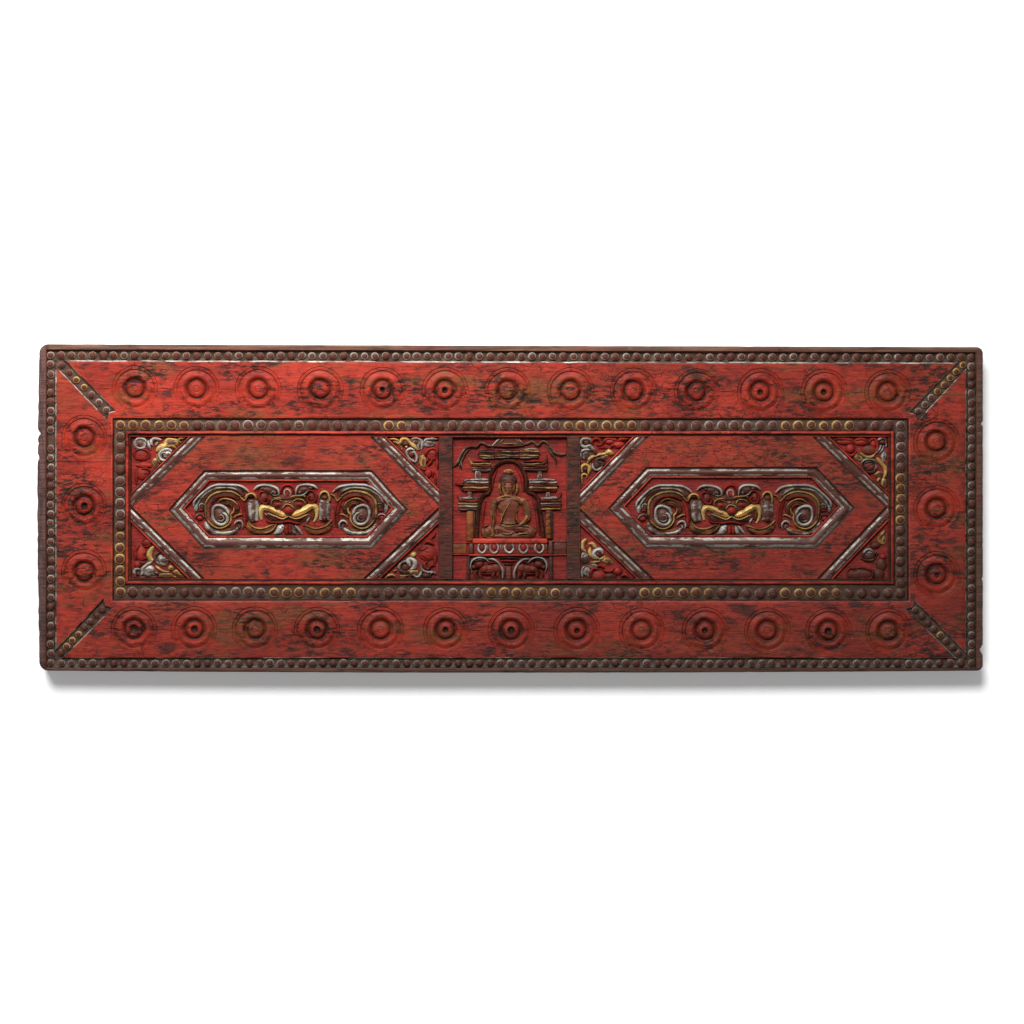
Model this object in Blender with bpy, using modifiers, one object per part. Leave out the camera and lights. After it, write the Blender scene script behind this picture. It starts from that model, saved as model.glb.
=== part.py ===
"""Carved wooden cover of a long Tibetan book: one board, lying with its carved face up.

Sizes and places are millimetres on the board: X runs along its length, Y across it towards the
top of the picture, Z up from its plain back. The origin lies under the middle of the board.
"""
import math

import bmesh
import bpy
from mathutils import Matrix, Vector

MM = 0.001
WELD = 0.00001

# Board
HALF_LENGTH = 359.5
HALF_WIDTH = 125.0
THICKNESS = 30.0
UPPER_EDGE_DROP = 2.3
LOWER_EDGE_BOW = 1.6
LEFT_END_BOW = 1.6
LEFT_CORNER_RADIUS = 7.0
RIGHT_CORNER_RADIUS = 4.8
CORNER_STEPS = 2
EDGE_WEAR = 1.1
ABOVE_BOARD = 33.0

# Levels of the carved face
BAND_TOP = 29.7
CHANNEL_FLOOR = 27.2
ROLL_CREST = 29.8
FIELD = 28.4
HEXAGON_GROUND = 24.2
CORNER_GROUND = 25.2
SHRINE_GROUND = 23.4

# Terraces of the face, from the margin inwards: left, right, upper left, upper right, lower, height
FACE_TERRACES = (
    (-352.8, 354.8, 120.6, 118.8, -121.7, THICKNESS),
    (-352.2, 354.2, 120.0, 118.2, -121.1, CHANNEL_FLOOR),
    (-345.8, 347.2, 112.6, 110.9, -114.1, CHANNEL_FLOOR),
    (-345.2, 346.5, 112.0, 110.3, -113.5, BAND_TOP),
    (-302.2, 303.0, 68.8, 68.8, -70.2, BAND_TOP),
    (-301.2, 302.0, 67.9, 67.9, -69.3, CHANNEL_FLOOR),
    (-292.6, 292.2, 59.0, 59.0, -58.0, CHANNEL_FLOOR),
    (-291.2, 290.7, 57.5, 57.5, -56.2, ROLL_CREST),
    (-289.6, 289.0, 55.7, 55.7, -54.4, FIELD),
)

# Beads
BEAD_SIDES = 4
BEAD_SINK = 0.6
OUTER_BEAD_TOP = 29.6
OUTER_BEAD_RADIUS = 3.9
OUTER_BEAD_CORNERS = ((-349.3, 116.5), (350.7, 114.8), (350.7, -117.6), (-349.3, -117.6))
OUTER_BEAD_GAPS = (88, 33, 88, 33)
INNER_BEAD_TOP = 29.8
INNER_BEAD_RADIUS = 4.9
INNER_BEAD_CORNERS = ((-296.4, 63.2), (297.0, 63.0), (297.0, -64.4), (-296.4, -63.7))
INNER_BEAD_GAPS = (61, 16, 61, 15)
MITRE_BEADS = 8
MITRE_BEAD_RADIUS = 3.6
MITRE_CHANNEL_RADIUS = 4.6
MITRE_LINES = (
    ((-340.5, 109.1), (-307.0, 74.9)),
    ((344.3, 108.3), (310.1, 73.3)),
    ((-342.4, -109.8), (-309.6, -76.4)),
    ((342.0, -110.6), (307.8, -77.1)),
)

# Roundels: radius and depth below the band of groove, crest, valley and rim
ROUNDEL_SIDES = 7
ROUNDEL_BOSS_DEPTH = 0.2
ROUNDEL_RINGS = ((7.6, 2.2), (10.4, 0.4), (14.2, 1.8), (17.6, -0.4))
UPPER_ROUNDELS = 13
UPPER_FIRST_PITCH = 46.78
UPPER_PITCH_GROWTH = 0.158
UPPER_START = (-285.3, 91.0)
UPPER_FALL = 3.0
LOWER_START = (-285.9, -91.9)
LOWER_PITCH = 47.8
LOWER_DRIFT = 4.2
LOWER_FALL = 1.6
LEFT_ROUNDELS = ((-323.8, 53.6), (-323.8, 1.9), (-323.8, -48.3))
RIGHT_ROUNDELS = ((324.5, 50.5), (324.5, -0.4), (324.5, -50.5))

# Hexagons: middle x, middle y, reach of the tips, half of the straight side, half of the height
HEXAGONS = (
    (-168.8, -1.4, 90.5, 62.5, 29.3),
    (168.4, 0.1, 93.7, 63.3, 30.6),
)
HEXAGON_STEPS = ((0.7, 0.9), (1.7, -0.8), (1.4, 0.7), (1.4, -0.6), (1.2, 0.9), (1.1, 0.1), (0.9, 3.0))

# Corner triangles: x and y of the corner, way in along x and y, legs along x and y
CORNERS = (
    (-288.4, 54.6, 1, -1, 44.0, 42.5),
    (-54.0, 54.6, -1, -1, 40.0, 40.0),
    (-288.4, -53.4, 1, 1, 43.5, 43.0),
    (-54.0, -53.4, -1, 1, 44.5, 42.0),
    (53.2, 54.6, 1, -1, 40.0, 41.0),
    (287.8, 54.6, -1, -1, 45.0, 43.5),
    (53.2, -53.4, 1, 1, 43.0, 41.0),
    (287.8, -53.4, -1, 1, 42.0, 44.0),
)
CORNER_WALL = 0.7
GROOVE_RADIUS = 1.2
GROOVE_OFFSETS = (1.6, 5.0, 8.6)

# Shrine between the two uprights
SHRINE = (-44.1, 43.7, 54.2, -54.2)
POST_OUTER_EDGES = (-53.4, 52.6)
NICHE_MIDDLE = -1.2
TIERS = (
    (-31.5, -14.4, 36.4, 28.6, 26.6), (8.4, 29.3, 36.4, 28.6, 26.5),
    (-39.5, -17.3, 23.0, 12.3, 26.9), (14.7, 37.1, 23.0, 12.3, 26.8),
    (-40.6, -24.0, 8.6, -0.9, 27.1), (23.6, 40.3, 8.6, -0.9, 27.0),
)
UPRIGHTS = (
    (-26.8, -22.0, 29.0, 22.6, 25.1), (20.1, 24.9, 29.0, 22.6, 25.2),
    (-32.1, -28.1, 12.8, 8.2, 25.3), (26.9, 30.9, 12.8, 8.2, 25.4),
    (-32.8, -27.2, -0.2, -26.4, 26.1), (26.9, 32.6, -0.2, -26.4, 26.0),
)

# Masks
MASKS = ((-168.7, -1.1), (168.3, -1.5))
SCROLL_REACH = {-1: 51.7, 1: 55.7}
SCROLL_DROP = -4.3
RIB_SINK = 0.15


def clear_scene():
    for item in list(bpy.data.objects):
        bpy.data.objects.remove(item, do_unlink=True)


def make_collection(name, parent):
    group = bpy.data.collections.new(name)
    parent.children.link(group)
    return group


def add_guide(name, mesh, group):
    """A cutter or a shape to be joined: shown as wire and left out of renders."""
    guide = bpy.data.objects.new(name, mesh)
    guide.hide_render = True
    guide.display_type = "WIRE"
    group.objects.link(guide)
    return guide


def mesh_from_curve(curve, height, rise=1.0):
    """The closed mesh of a curve, at its height over the back of the board."""
    helper = bpy.data.objects.new(curve.name, curve)
    helper.location.z = height * MM
    helper.scale.z = rise
    bpy.context.scene.collection.objects.link(helper)
    bpy.context.view_layer.update()
    graph = bpy.context.evaluated_depsgraph_get()
    mesh = bpy.data.meshes.new_from_object(helper.evaluated_get(graph))
    mesh.transform(helper.matrix_world)
    bpy.data.objects.remove(helper)
    welded = bmesh.new()
    welded.from_mesh(mesh)
    bmesh.ops.remove_doubles(welded, verts=welded.verts, dist=WELD)
    bmesh.ops.recalc_face_normals(welded, faces=welded.faces)
    welded.to_mesh(mesh)
    welded.free()
    return mesh


def plate_mesh(name, loop, low, high):
    """A flat outline with thickness."""
    curve = bpy.data.curves.new(name, "CURVE")
    curve.dimensions = "2D"
    curve.fill_mode = "BOTH"
    curve.extrude = (high - low) / 2 * MM
    spline = curve.splines.new("POLY")
    spline.points.add(len(loop) - 1)
    spline.use_cyclic_u = True
    for point, (x, y) in zip(spline.points, loop):
        point.co = (x * MM, y * MM, 0, 1)
    return mesh_from_curve(curve, (low + high) / 2)


def add_plate(name, loop, low, high, group):
    return add_guide(name, plate_mesh(name, loop, low, high), group)


def add_ridge(name, stations, level, group, rise=1.0):
    """A rib, or the cutter of a groove, through stations of x, y and half width at one level.

    Its section is a square on its corner, so that half of it stands over the level, and rise
    is its height for each unit of half width.
    """
    curve = bpy.data.curves.new(name, "CURVE")
    curve.dimensions = "3D"
    curve.twist_mode = "Z_UP"
    curve.bevel_depth = MM
    curve.bevel_resolution = 0
    curve.use_fill_caps = True
    spline = curve.splines.new("POLY")
    spline.points.add(len(stations) - 1)
    for point, (x, y, half_width) in zip(spline.points, stations):
        point.co = (x * MM, y * MM, 0, 1)
        point.radius = half_width
    return add_guide(name, mesh_from_curve(curve, level, rise), group)


def add_knob(form, x, y, low, high, foot, head, sides, stretch=1.0, turn=0.0):
    """Adds a low cone or stump, longer across the board by the stretch."""
    place = Matrix.Translation(Vector((x, y, (low + high) / 2)) * MM)
    place = place @ Matrix.Rotation(turn, 4, "Z") @ Matrix.Diagonal((1.0, stretch, 1.0, 1.0))
    bmesh.ops.create_cone(
        form, cap_ends=True, segments=sides, radius1=foot * MM, radius2=head * MM,
        depth=(high - low) * MM, matrix=place)


def add_form(name, form, group):
    mesh = bpy.data.meshes.new(name)
    form.to_mesh(mesh)
    form.free()
    return add_guide(name, mesh, group)


def add_sunk_form(name, loop, top, steps, group):
    """A cutter with a stepped underside: each step goes inwards and then down."""
    mesh = plate_mesh(name, loop, top, ABOVE_BOARD)
    form = bmesh.new()
    form.from_mesh(mesh)
    bmesh.ops.dissolve_limit(
        form, angle_limit=math.radians(1), verts=form.verts, edges=form.edges)
    face = min(form.faces, key=lambda item: item.calc_center_median().z)
    for inward, down in steps:
        bmesh.ops.inset_region(
            form, faces=[face], thickness=inward * MM, depth=down * MM, use_even_offset=True)
    form.to_mesh(mesh)
    form.free()
    return add_guide(name, mesh, group)


def points_between(start, end, gaps):
    """The places along a line, without its last one."""
    for step in range(gaps):
        share = step / gaps
        yield start[0] + (end[0] - start[0]) * share, start[1] + (end[1] - start[1]) * share


def rounded_corner(corner, before, after, radius):
    """The arc that takes off a corner between its two neighbours."""
    corner = Vector(corner)
    back = (Vector(before) - corner).normalized()
    ahead = (Vector(after) - corner).normalized()
    middle = corner + (back + ahead) * radius
    for step in range(CORNER_STEPS + 1):
        angle = math.pi / 2 * step / CORNER_STEPS
        yield tuple(middle - ahead * radius * math.cos(angle) - back * radius * math.sin(angle))


def board_outline():
    """The board seen from above: a straight upper edge that falls, bowed lower and left edges."""
    left = -HALF_LENGTH + LEFT_END_BOW
    lower = -HALF_WIDTH + LOWER_EDGE_BOW
    corners = (
        ((left, lower), LEFT_CORNER_RADIUS),
        ((HALF_LENGTH, lower), RIGHT_CORNER_RADIUS),
        ((HALF_LENGTH, HALF_WIDTH - UPPER_EDGE_DROP), RIGHT_CORNER_RADIUS),
        ((left, HALF_WIDTH), LEFT_CORNER_RADIUS),
    )
    loop = []
    for index, (corner, radius) in enumerate(corners):
        before = corners[index - 1][0]
        after = corners[(index + 1) % len(corners)][0]
        loop.extend(rounded_corner(corner, before, after, radius))
        if index == 0:
            for share in (-0.5, 0.0, 0.5):
                loop.append((share * HALF_LENGTH, lower - LOWER_EDGE_BOW * (1 - share ** 2)))
    for share in (0.5, 0.0, -0.5):
        loop.append((left - LEFT_END_BOW * (1 - share ** 2), share * HALF_WIDTH))
    return loop


def make_board(group):
    board = bpy.data.objects.new("cover_board", plate_mesh("cover_board", board_outline(), 0, THICKNESS))
    group.objects.link(board)
    wear = board.modifiers.new("worn edges", "BEVEL")
    wear.width = EDGE_WEAR * MM
    wear.segments = 1
    wear.limit_method = "ANGLE"
    wear.angle_limit = math.radians(60)
    return board


def cut_face(group):
    """Sinks the bead channels, the band and the field between margin and roll moulding."""
    loops = []
    for left, right, upper_left, upper_right, lower, height in FACE_TERRACES:
        loops.append((
            Vector((left, lower, height)) * MM,
            Vector((right, lower, height)) * MM,
            Vector((right, upper_right, height)) * MM,
            Vector((left, upper_left, height)) * MM,
        ))
    form = bmesh.new()
    bmesh.ops.create_cube(form, size=1.0)
    for vert in form.verts:
        nearest = loops[0][(0 if vert.co.x < 0 else 1) if vert.co.y < 0 else (3 if vert.co.x < 0 else 2)]
        height = ABOVE_BOARD * MM if vert.co.z > 0 else nearest.z
        vert.co = (nearest.x, nearest.y, height)
    form.faces.ensure_lookup_table()
    face = min(form.faces, key=lambda item: item.calc_center_median().z)
    for loop in loops[1:]:
        bmesh.ops.inset_region(form, faces=[face], thickness=0.2 * MM, use_even_offset=True)
        for vert in face.verts:
            vert.co = min(loop, key=lambda point: (point.xy - vert.co.xy).length)
    add_form("face terraces", form, group)


def add_beads(cuts, relief):
    """Bead rows in the two channels and along the four mitres, with the mitres' own channels."""
    form = bmesh.new()

    def bead(x, y, top, radius, turn):
        spread = radius * (top - CHANNEL_FLOOR + BEAD_SINK) / (top - CHANNEL_FLOOR)
        add_knob(form, x, y, CHANNEL_FLOOR - BEAD_SINK, top, spread, 0, BEAD_SIDES, 1.0, turn)

    rows = (
        (OUTER_BEAD_CORNERS, OUTER_BEAD_GAPS, OUTER_BEAD_TOP, OUTER_BEAD_RADIUS),
        (INNER_BEAD_CORNERS, INNER_BEAD_GAPS, INNER_BEAD_TOP, INNER_BEAD_RADIUS),
    )
    for corners, gaps, top, radius in rows:
        for index, count in enumerate(gaps):
            start = corners[index]
            end = corners[(index + 1) % len(corners)]
            for x, y in points_between(start, end, count):
                bead(x, y, top, radius, math.radians(45))
    for index, (start, end) in enumerate(MITRE_LINES):
        channel = [(x, y, MITRE_CHANNEL_RADIUS) for x, y in (start, end)]
        add_ridge(f"mitre channel {index}", channel, BAND_TOP + 0.9, cuts)
        for x, y in points_between(start, end, MITRE_BEADS):
            bead(x, y, OUTER_BEAD_TOP, MITRE_BEAD_RADIUS, 0.0)
    add_form("beads", form, relief)


def roundel_places():
    for index in range(UPPER_ROUNDELS):
        share = index / (UPPER_ROUNDELS - 1)
        x = UPPER_START[0] + UPPER_FIRST_PITCH * index + UPPER_PITCH_GROWTH * index ** 2 / 2
        yield x, UPPER_START[1] - UPPER_FALL * share
        drift = LOWER_DRIFT * math.sin(2 * math.pi * share)
        yield LOWER_START[0] + LOWER_PITCH * index - drift, LOWER_START[1] - LOWER_FALL * share
    yield from LEFT_ROUNDELS
    yield from RIGHT_ROUNDELS


def cut_roundels(group):
    """One turned cutter, stamped at every roundel of the band."""
    profile = [(0.0, ABOVE_BOARD), (ROUNDEL_RINGS[-1][0], ABOVE_BOARD)]
    profile += [(radius, BAND_TOP - depth) for radius, depth in reversed(ROUNDEL_RINGS)]
    profile.append((0.0, BAND_TOP - ROUNDEL_BOSS_DEPTH))
    turned = bpy.data.meshes.new("roundel profile")
    edges = [(index, index + 1) for index in range(len(profile) - 1)]
    turned.from_pydata([(radius * MM, 0, height * MM) for radius, height in profile], edges, [])
    lathe = bpy.data.objects.new("roundel profile", turned)
    bpy.context.scene.collection.objects.link(lathe)
    screw = lathe.modifiers.new("turn", "SCREW")
    screw.steps = ROUNDEL_SIDES
    screw.render_steps = ROUNDEL_SIDES
    screw.use_merge_vertices = True
    screw.merge_threshold = WELD
    graph = bpy.context.evaluated_depsgraph_get()
    single = bpy.data.meshes.new_from_object(lathe.evaluated_get(graph))
    bpy.data.objects.remove(lathe)
    form = bmesh.new()
    for x, y in roundel_places():
        copy = single.copy()
        copy.transform(Matrix.Translation((x * MM, y * MM, 0)))
        form.from_mesh(copy)
        bpy.data.meshes.remove(copy)
    add_form("roundels", form, group)


def cut_hexagons(group):
    for index, (x, y, reach, straight, half_height) in enumerate(HEXAGONS):
        loop = (
            (x - reach, y), (x - straight, y - half_height), (x + straight, y - half_height),
            (x + reach, y), (x + straight, y + half_height), (x - straight, y + half_height))
        add_sunk_form(f"hexagon {index}", loop, FIELD, HEXAGON_STEPS, group)


def cut_corners(group):
    """Sunk corner triangles with three grooves that leave two ribs along each long side."""
    for index, (x, y, way_x, way_y, leg_x, leg_y) in enumerate(CORNERS):
        loop = ((x, y), (x + way_x * leg_x, y), (x, y + way_y * leg_y))
        steps = ((CORNER_WALL, FIELD - CORNER_GROUND),)
        add_sunk_form(f"corner {index}", loop, FIELD, steps, group)
        for offset in GROOVE_OFFSETS:
            longer = 1 + offset * math.hypot(leg_x, leg_y) / (leg_x * leg_y)
            start = (x + way_x * leg_x * longer, y, GROOVE_RADIUS)
            end = (x, y + way_y * leg_y * longer, GROOVE_RADIUS)
            add_ridge(f"groove {index} {offset}", (start, end), FIELD + 0.1, group)


def box_loop(left, right, top, bottom):
    return (left, bottom), (right, bottom), (right, top), (left, top)


def cut_shrine(group):
    left, right, top, bottom = SHRINE
    add_sunk_form("shrine", box_loop(left, right, top, bottom), FIELD, ((0.5, FIELD - SHRINE_GROUND),), group)
    for x in POST_OUTER_EDGES:
        stations = ((x, top - 0.4, 1.0), (x, bottom + 0.4, 1.0))
        add_ridge(f"post edge {x}", stations, FIELD + 0.1, group)


def spiral(middle, side, start_angle, end_angle, steps, reach):
    """Stations on a spiral; the side mirrors it, and reach gives the distance at an angle."""
    for step in range(steps + 1):
        angle = start_angle + (end_angle - start_angle) * step / steps
        distance = reach(angle)
        turned = math.radians(angle)
        yield middle[0] - side * distance * math.cos(turned), middle[1] + distance * math.sin(turned)


def add_scroll(name, mask, side, relief):
    """Foliage scroll at one side of a mask: a coil that narrows inwards, an arch and a leaf."""
    middle = (mask[0] + side * SCROLL_REACH[side], mask[1] + SCROLL_DROP)
    level = HEXAGON_GROUND - RIB_SINK

    def place(x, y, half_width):
        return middle[0] - side * x, middle[1] + y, half_width

    coil = spiral(middle, side, 34, 600, 11, lambda angle: 6.6 * (1 - angle / 760) + 23.0 * math.exp(-angle / 105))
    add_ridge(f"{name} coil", [(x, y, 2.3 - 0.08 * index) for index, (x, y) in enumerate(coil)], level, relief, 1.7)
    arch = (place(-21.5, 3.5, 1.2), place(-17.0, 16.0, 2.4), place(-1.7, 23.2, 2.6),
            place(13.0, 22.3, 2.4), place(22.0, 18.5, 1.2))
    add_ridge(f"{name} arch", arch, level, relief, 1.5)
    base = (place(-17.5, -3.0, 1.4), place(-12.0, -12.0, 2.4), place(8.0, -14.0, 1.2))
    add_ridge(f"{name} base leaf", base, level, relief, 1.2)


def add_mask(name, mask, relief):
    """Horned lion mask with leafy moustache, between the two scrolls."""
    form = bmesh.new()
    low = HEXAGON_GROUND - 1.0
    x, y = mask
    add_knob(form, x, y + 1.0, low, 27.6, 15.0, 9.0, 8, 0.62)
    add_knob(form, x, y - 0.6, low, 29.2, 6.4, 1.6, 4, 0.8, math.radians(45))
    for side in (-1, 1):
        add_knob(form, x + side * 7.4, y + 5.2, low, 28.9, 5.4, 1.4, 5, 0.75)
    add_form(f"{name} face", form, relief)
    level = HEXAGON_GROUND - RIB_SINK
    for side in (-1, 1):
        def place(dx, dy, half_width):
            return x + side * dx, y + dy, half_width
        horn = (place(26.0, 14.2, 1.2), place(18.0, 16.6, 2.8), place(6.0, 12.2, 1.4))
        add_ridge(f"{name} horn {side}", horn, level, relief, 1.4)
        lip = (place(0.4, -6.4, 1.8), place(10.0, -2.2, 2.8), place(20.0, 1.6, 2.2), place(21.6, -6.5, 1.0))
        add_ridge(f"{name} moustache {side}", lip, level, relief, 1.7)
        tail = (place(28.6, 9.6, 2.2), place(28.4, -12.8, 2.0), place(20.6, -16.4, 1.6), place(10.4, -12.4, 1.0))
        add_ridge(f"{name} tail {side}", tail, level, relief, 1.5)
        beard = (place(2.0, -10.8, 1.0), place(7.4, -17.6, 1.8))
        add_ridge(f"{name} beard {side}", beard, level, relief, 1.5)


def add_corner_leaves(relief):
    """Leaf scrolls that fill the corner triangles."""
    for index, (x, y, way_x, way_y, leg_x, leg_y) in enumerate(CORNERS):
        def place(share_x, share_y, half_width):
            return x + way_x * share_x * leg_x, y + way_y * share_y * leg_y, half_width
        level = CORNER_GROUND - RIB_SINK
        curl = (place(0.30, 0.54, 1.2), place(0.28, 0.34, 2.2), place(0.48, 0.22, 2.0), place(0.50, 0.38, 1.0))
        add_ridge(f"curl {index}", curl, level, relief, 1.4)
        long_leaf = (place(0.84, 0.09, 0.8), place(0.34, 0.09, 2.0))
        add_ridge(f"long leaf {index}", long_leaf, level, relief, 1.3)
        side_leaf = (place(0.10, 0.84, 0.8), place(0.13, 0.50, 2.4), place(0.12, 0.14, 2.2))
        add_ridge(f"side leaf {index}", side_leaf, level, relief, 1.3)


def add_shrine(relief):
    """Stepped roof tiers, columns, arched niche, throne and its two beasts."""
    low = SHRINE_GROUND - 1.0
    level = SHRINE_GROUND - RIB_SINK
    finial = ((-12.5, 46.6), (9.9, 46.6), (5.3, 53.4), (-6.8, 53.4))
    add_plate("finial", finial, low, 26.2, relief)
    architrave = ((-27.5, 41.6), (-24.2, 37.6), (21.6, 37.6), (25.0, 41.6), (21.6, 45.8), (-24.2, 45.8))
    add_plate("architrave", architrave, low, 26.4, relief)
    for index, (left, right, top, bottom, height) in enumerate(TIERS + UPRIGHTS):
        add_plate(f"tier {index}", box_loop(left, right, top, bottom), low, height, relief)
    add_plate("rail", box_loop(-44.6, 44.2, -25.4, -35.2), low, 24.6, relief)
    add_plate("throne", box_loop(-27.7, 29.3, -22.6, -36.4), low, 28.2, relief)
    for side in (-1, 1):
        streamer = ((NICHE_MIDDLE + side * 14, 48.0, 0.9), (NICHE_MIDDLE + side * 28, 49.0, 1.1),
                    (NICHE_MIDDLE + side * 41, 34.2, 0.7))
        add_ridge(f"streamer {side}", streamer, level, relief)
    arch = [(-24.8, -23.0), (-21.6, 6.4), (-13.4, 13.0)]
    arch += [(-13.0 * math.cos(math.radians(angle)), 22.4 + 13.0 * math.sin(math.radians(angle)))
             for angle in (10, 50, 90, 130, 170)]
    arch += [(-x, y) for x, y in reversed(arch[:3])]
    add_ridge("niche arch", [(NICHE_MIDDLE + x, y, 1.9) for x, y in arch], level, relief, 1.6)
    form = bmesh.new()
    for index in range(5):
        add_knob(form, -19.6 + 10.4 * index, -30.4, 27.6, 29.6, 5.6, 0, 4, 0.9, math.radians(45))
    add_knob(form, -1.3, -46.4, low, 26.2, 3.4, 2.6, 4, 2.0, math.radians(45))
    for side in (-1, 1):
        middle = NICHE_MIDDLE + side * 14.6
        add_knob(form, middle - side * 1.5, -46.4, low, 27.2, 9.4, 5.4, 6, 0.62)
        add_knob(form, middle + side * 9.8, -43.2, low, 27.6, 5.2, 2.2, 5)
    add_form("petals and beasts", form, relief)
    for side in (-1, 1):
        for reach in (7.5, 20.0):
            x = NICHE_MIDDLE + side * reach
            add_ridge(f"beast leg {side} {reach}", ((x, -48.6, 2.4), (x, -53.6, 1.8)), level, relief)


def add_figure(relief):
    """Seated figure in the niche: crossed legs, one hand over the knee, one in the lap."""
    form = bmesh.new()
    low = SHRINE_GROUND - 1.0
    level = SHRINE_GROUND - RIB_SINK
    x = NICHE_MIDDLE
    add_knob(form, x, -1.0, low, 28.2, 9.6, 6.0, 8, 1.35)
    add_knob(form, x, 15.8, low, 28.8, 7.6, 3.6, 8, 1.1)
    add_knob(form, x, 22.8, low, 27.6, 7.2, 4.2, 6, 0.8)
    add_knob(form, x, 27.6, low, 27.2, 4.2, 2.2, 6, 0.8)
    add_form("head and trunk", form, relief)
    legs = ((x - 20.4, -18.0, 3.8), (x, -17.2, 5.4), (x + 20.8, -18.0, 3.8))
    add_ridge("crossed legs", legs, level, relief, 1.15)
    reaching = ((x - 10.0, 6.6, 3.0), (x - 12.8, -6.0, 3.0), (x - 11.0, -19.6, 2.2))
    add_ridge("reaching arm", reaching, level, relief, 2.0)
    bent = ((x + 10.0, 6.6, 3.0), (x + 15.6, -5.8, 3.0), (x + 7.0, -11.4, 2.4))
    add_ridge("bent arm", bent, level, relief, 1.9)


def paint(board):
    """Red lacquer over the whole board."""
    lacquer = bpy.data.materials.new("red lacquer")
    lacquer.use_nodes = True
    shader = lacquer.node_tree.nodes["Principled BSDF"]
    shader.inputs["Base Color"].default_value = (0.42, 0.045, 0.028, 1)
    shader.inputs["Roughness"].default_value = 0.52
    shader.inputs["Metallic"].default_value = 0.0
    board.data.materials.append(lacquer)


def carve(board, operation, group):
    step = board.modifiers.new(group.name, "BOOLEAN")
    step.operation = operation
    step.solver = "EXACT"
    step.operand_type = "COLLECTION"
    step.collection = group


def main():
    clear_scene()
    root = bpy.context.scene.collection
    cover = make_collection("tibetan_manuscript_cover", root)
    cutters = make_collection("cutters", root)
    cuts = make_collection("sunk work", cutters)
    relief = make_collection("raised work", cutters)
    board = make_board(cover)
    paint(board)
    cut_face(cuts)
    add_beads(cuts, relief)
    cut_roundels(cuts)
    cut_hexagons(cuts)
    cut_corners(cuts)
    cut_shrine(cuts)
    for index, mask in enumerate(MASKS):
        add_mask(f"mask {index}", mask, relief)
        for side in (-1, 1):
            add_scroll(f"scroll {index} {side}", mask, side, relief)
    add_corner_leaves(relief)
    add_shrine(relief)
    add_figure(relief)
    carve(board, "DIFFERENCE", cuts)
    carve(board, "UNION", relief)


main()
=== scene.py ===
import math
import random

import bmesh
import bpy
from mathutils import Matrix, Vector, noise


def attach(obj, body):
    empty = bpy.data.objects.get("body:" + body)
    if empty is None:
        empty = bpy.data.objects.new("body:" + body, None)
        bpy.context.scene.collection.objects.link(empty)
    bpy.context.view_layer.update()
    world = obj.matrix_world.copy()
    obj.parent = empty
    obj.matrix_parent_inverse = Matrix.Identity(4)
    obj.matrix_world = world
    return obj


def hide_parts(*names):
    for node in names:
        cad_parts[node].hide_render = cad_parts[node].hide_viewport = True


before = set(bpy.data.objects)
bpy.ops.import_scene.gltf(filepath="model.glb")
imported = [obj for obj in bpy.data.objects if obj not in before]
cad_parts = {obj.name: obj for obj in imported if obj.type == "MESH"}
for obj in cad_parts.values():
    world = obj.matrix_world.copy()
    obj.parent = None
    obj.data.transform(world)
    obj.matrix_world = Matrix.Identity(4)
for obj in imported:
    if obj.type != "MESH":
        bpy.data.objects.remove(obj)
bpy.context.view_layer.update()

# The carved cover lies face up. Sizes and places are millimetres on the board: X along it, Y across
# it towards the top of the picture, Z up from its plain back, with the origin under its middle.
MM = 0.001

# Board
HALF_LENGTH = 359.5
HALF_WIDTH = 125.0
THICKNESS = 30.0
UPPER_EDGE_DROP = 2.3
DROP_STARTS = 63.0
LOWER_EDGE_BOW = 1.6
LEFT_END_BOW = 1.6
LEFT_CORNER_RADIUS = 7.0
RIGHT_CORNER_RADIUS = 4.8
CORNER_STEPS = 5
EDGE_STEP = 6
END_STEP = 1.9
EDGE_ROUGHNESS = 0.3
LEFT_END_ROUGHNESS = 0.75
EDGE_WEAR = 1.3
ABOVE_BOARD = 33.0
CUT_SHIFTS = (0.0, 0.013, -0.031, 0.047)

# Levels of the carved face, how deep shrine slabs reach, and how far cutters stand over a face
BAND_TOP = 29.6
CHANNEL_FLOOR = 27.2
FIELD = 28.4
HEXAGON_GROUND = 24.2
CORNER_GROUND = 25.2
SHRINE_GROUND = 23.4
SHRINE_FOOT = SHRINE_GROUND - 1.0
OVER = 0.05

# Slots of the carved board; the grime slot is dark paint on groove walls and drops, for dirt and for painted
# shade where shadow falls
RED, WOOD, CHANNEL, SILVER, FILLET, GROUND, POST, CREST, SHADE_AND_GRIME = range(9)
BOARD_SLOTS = ("red", "wood", "channel", "silver", "fillet", "ground", "post", "crest", "grime")

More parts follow.
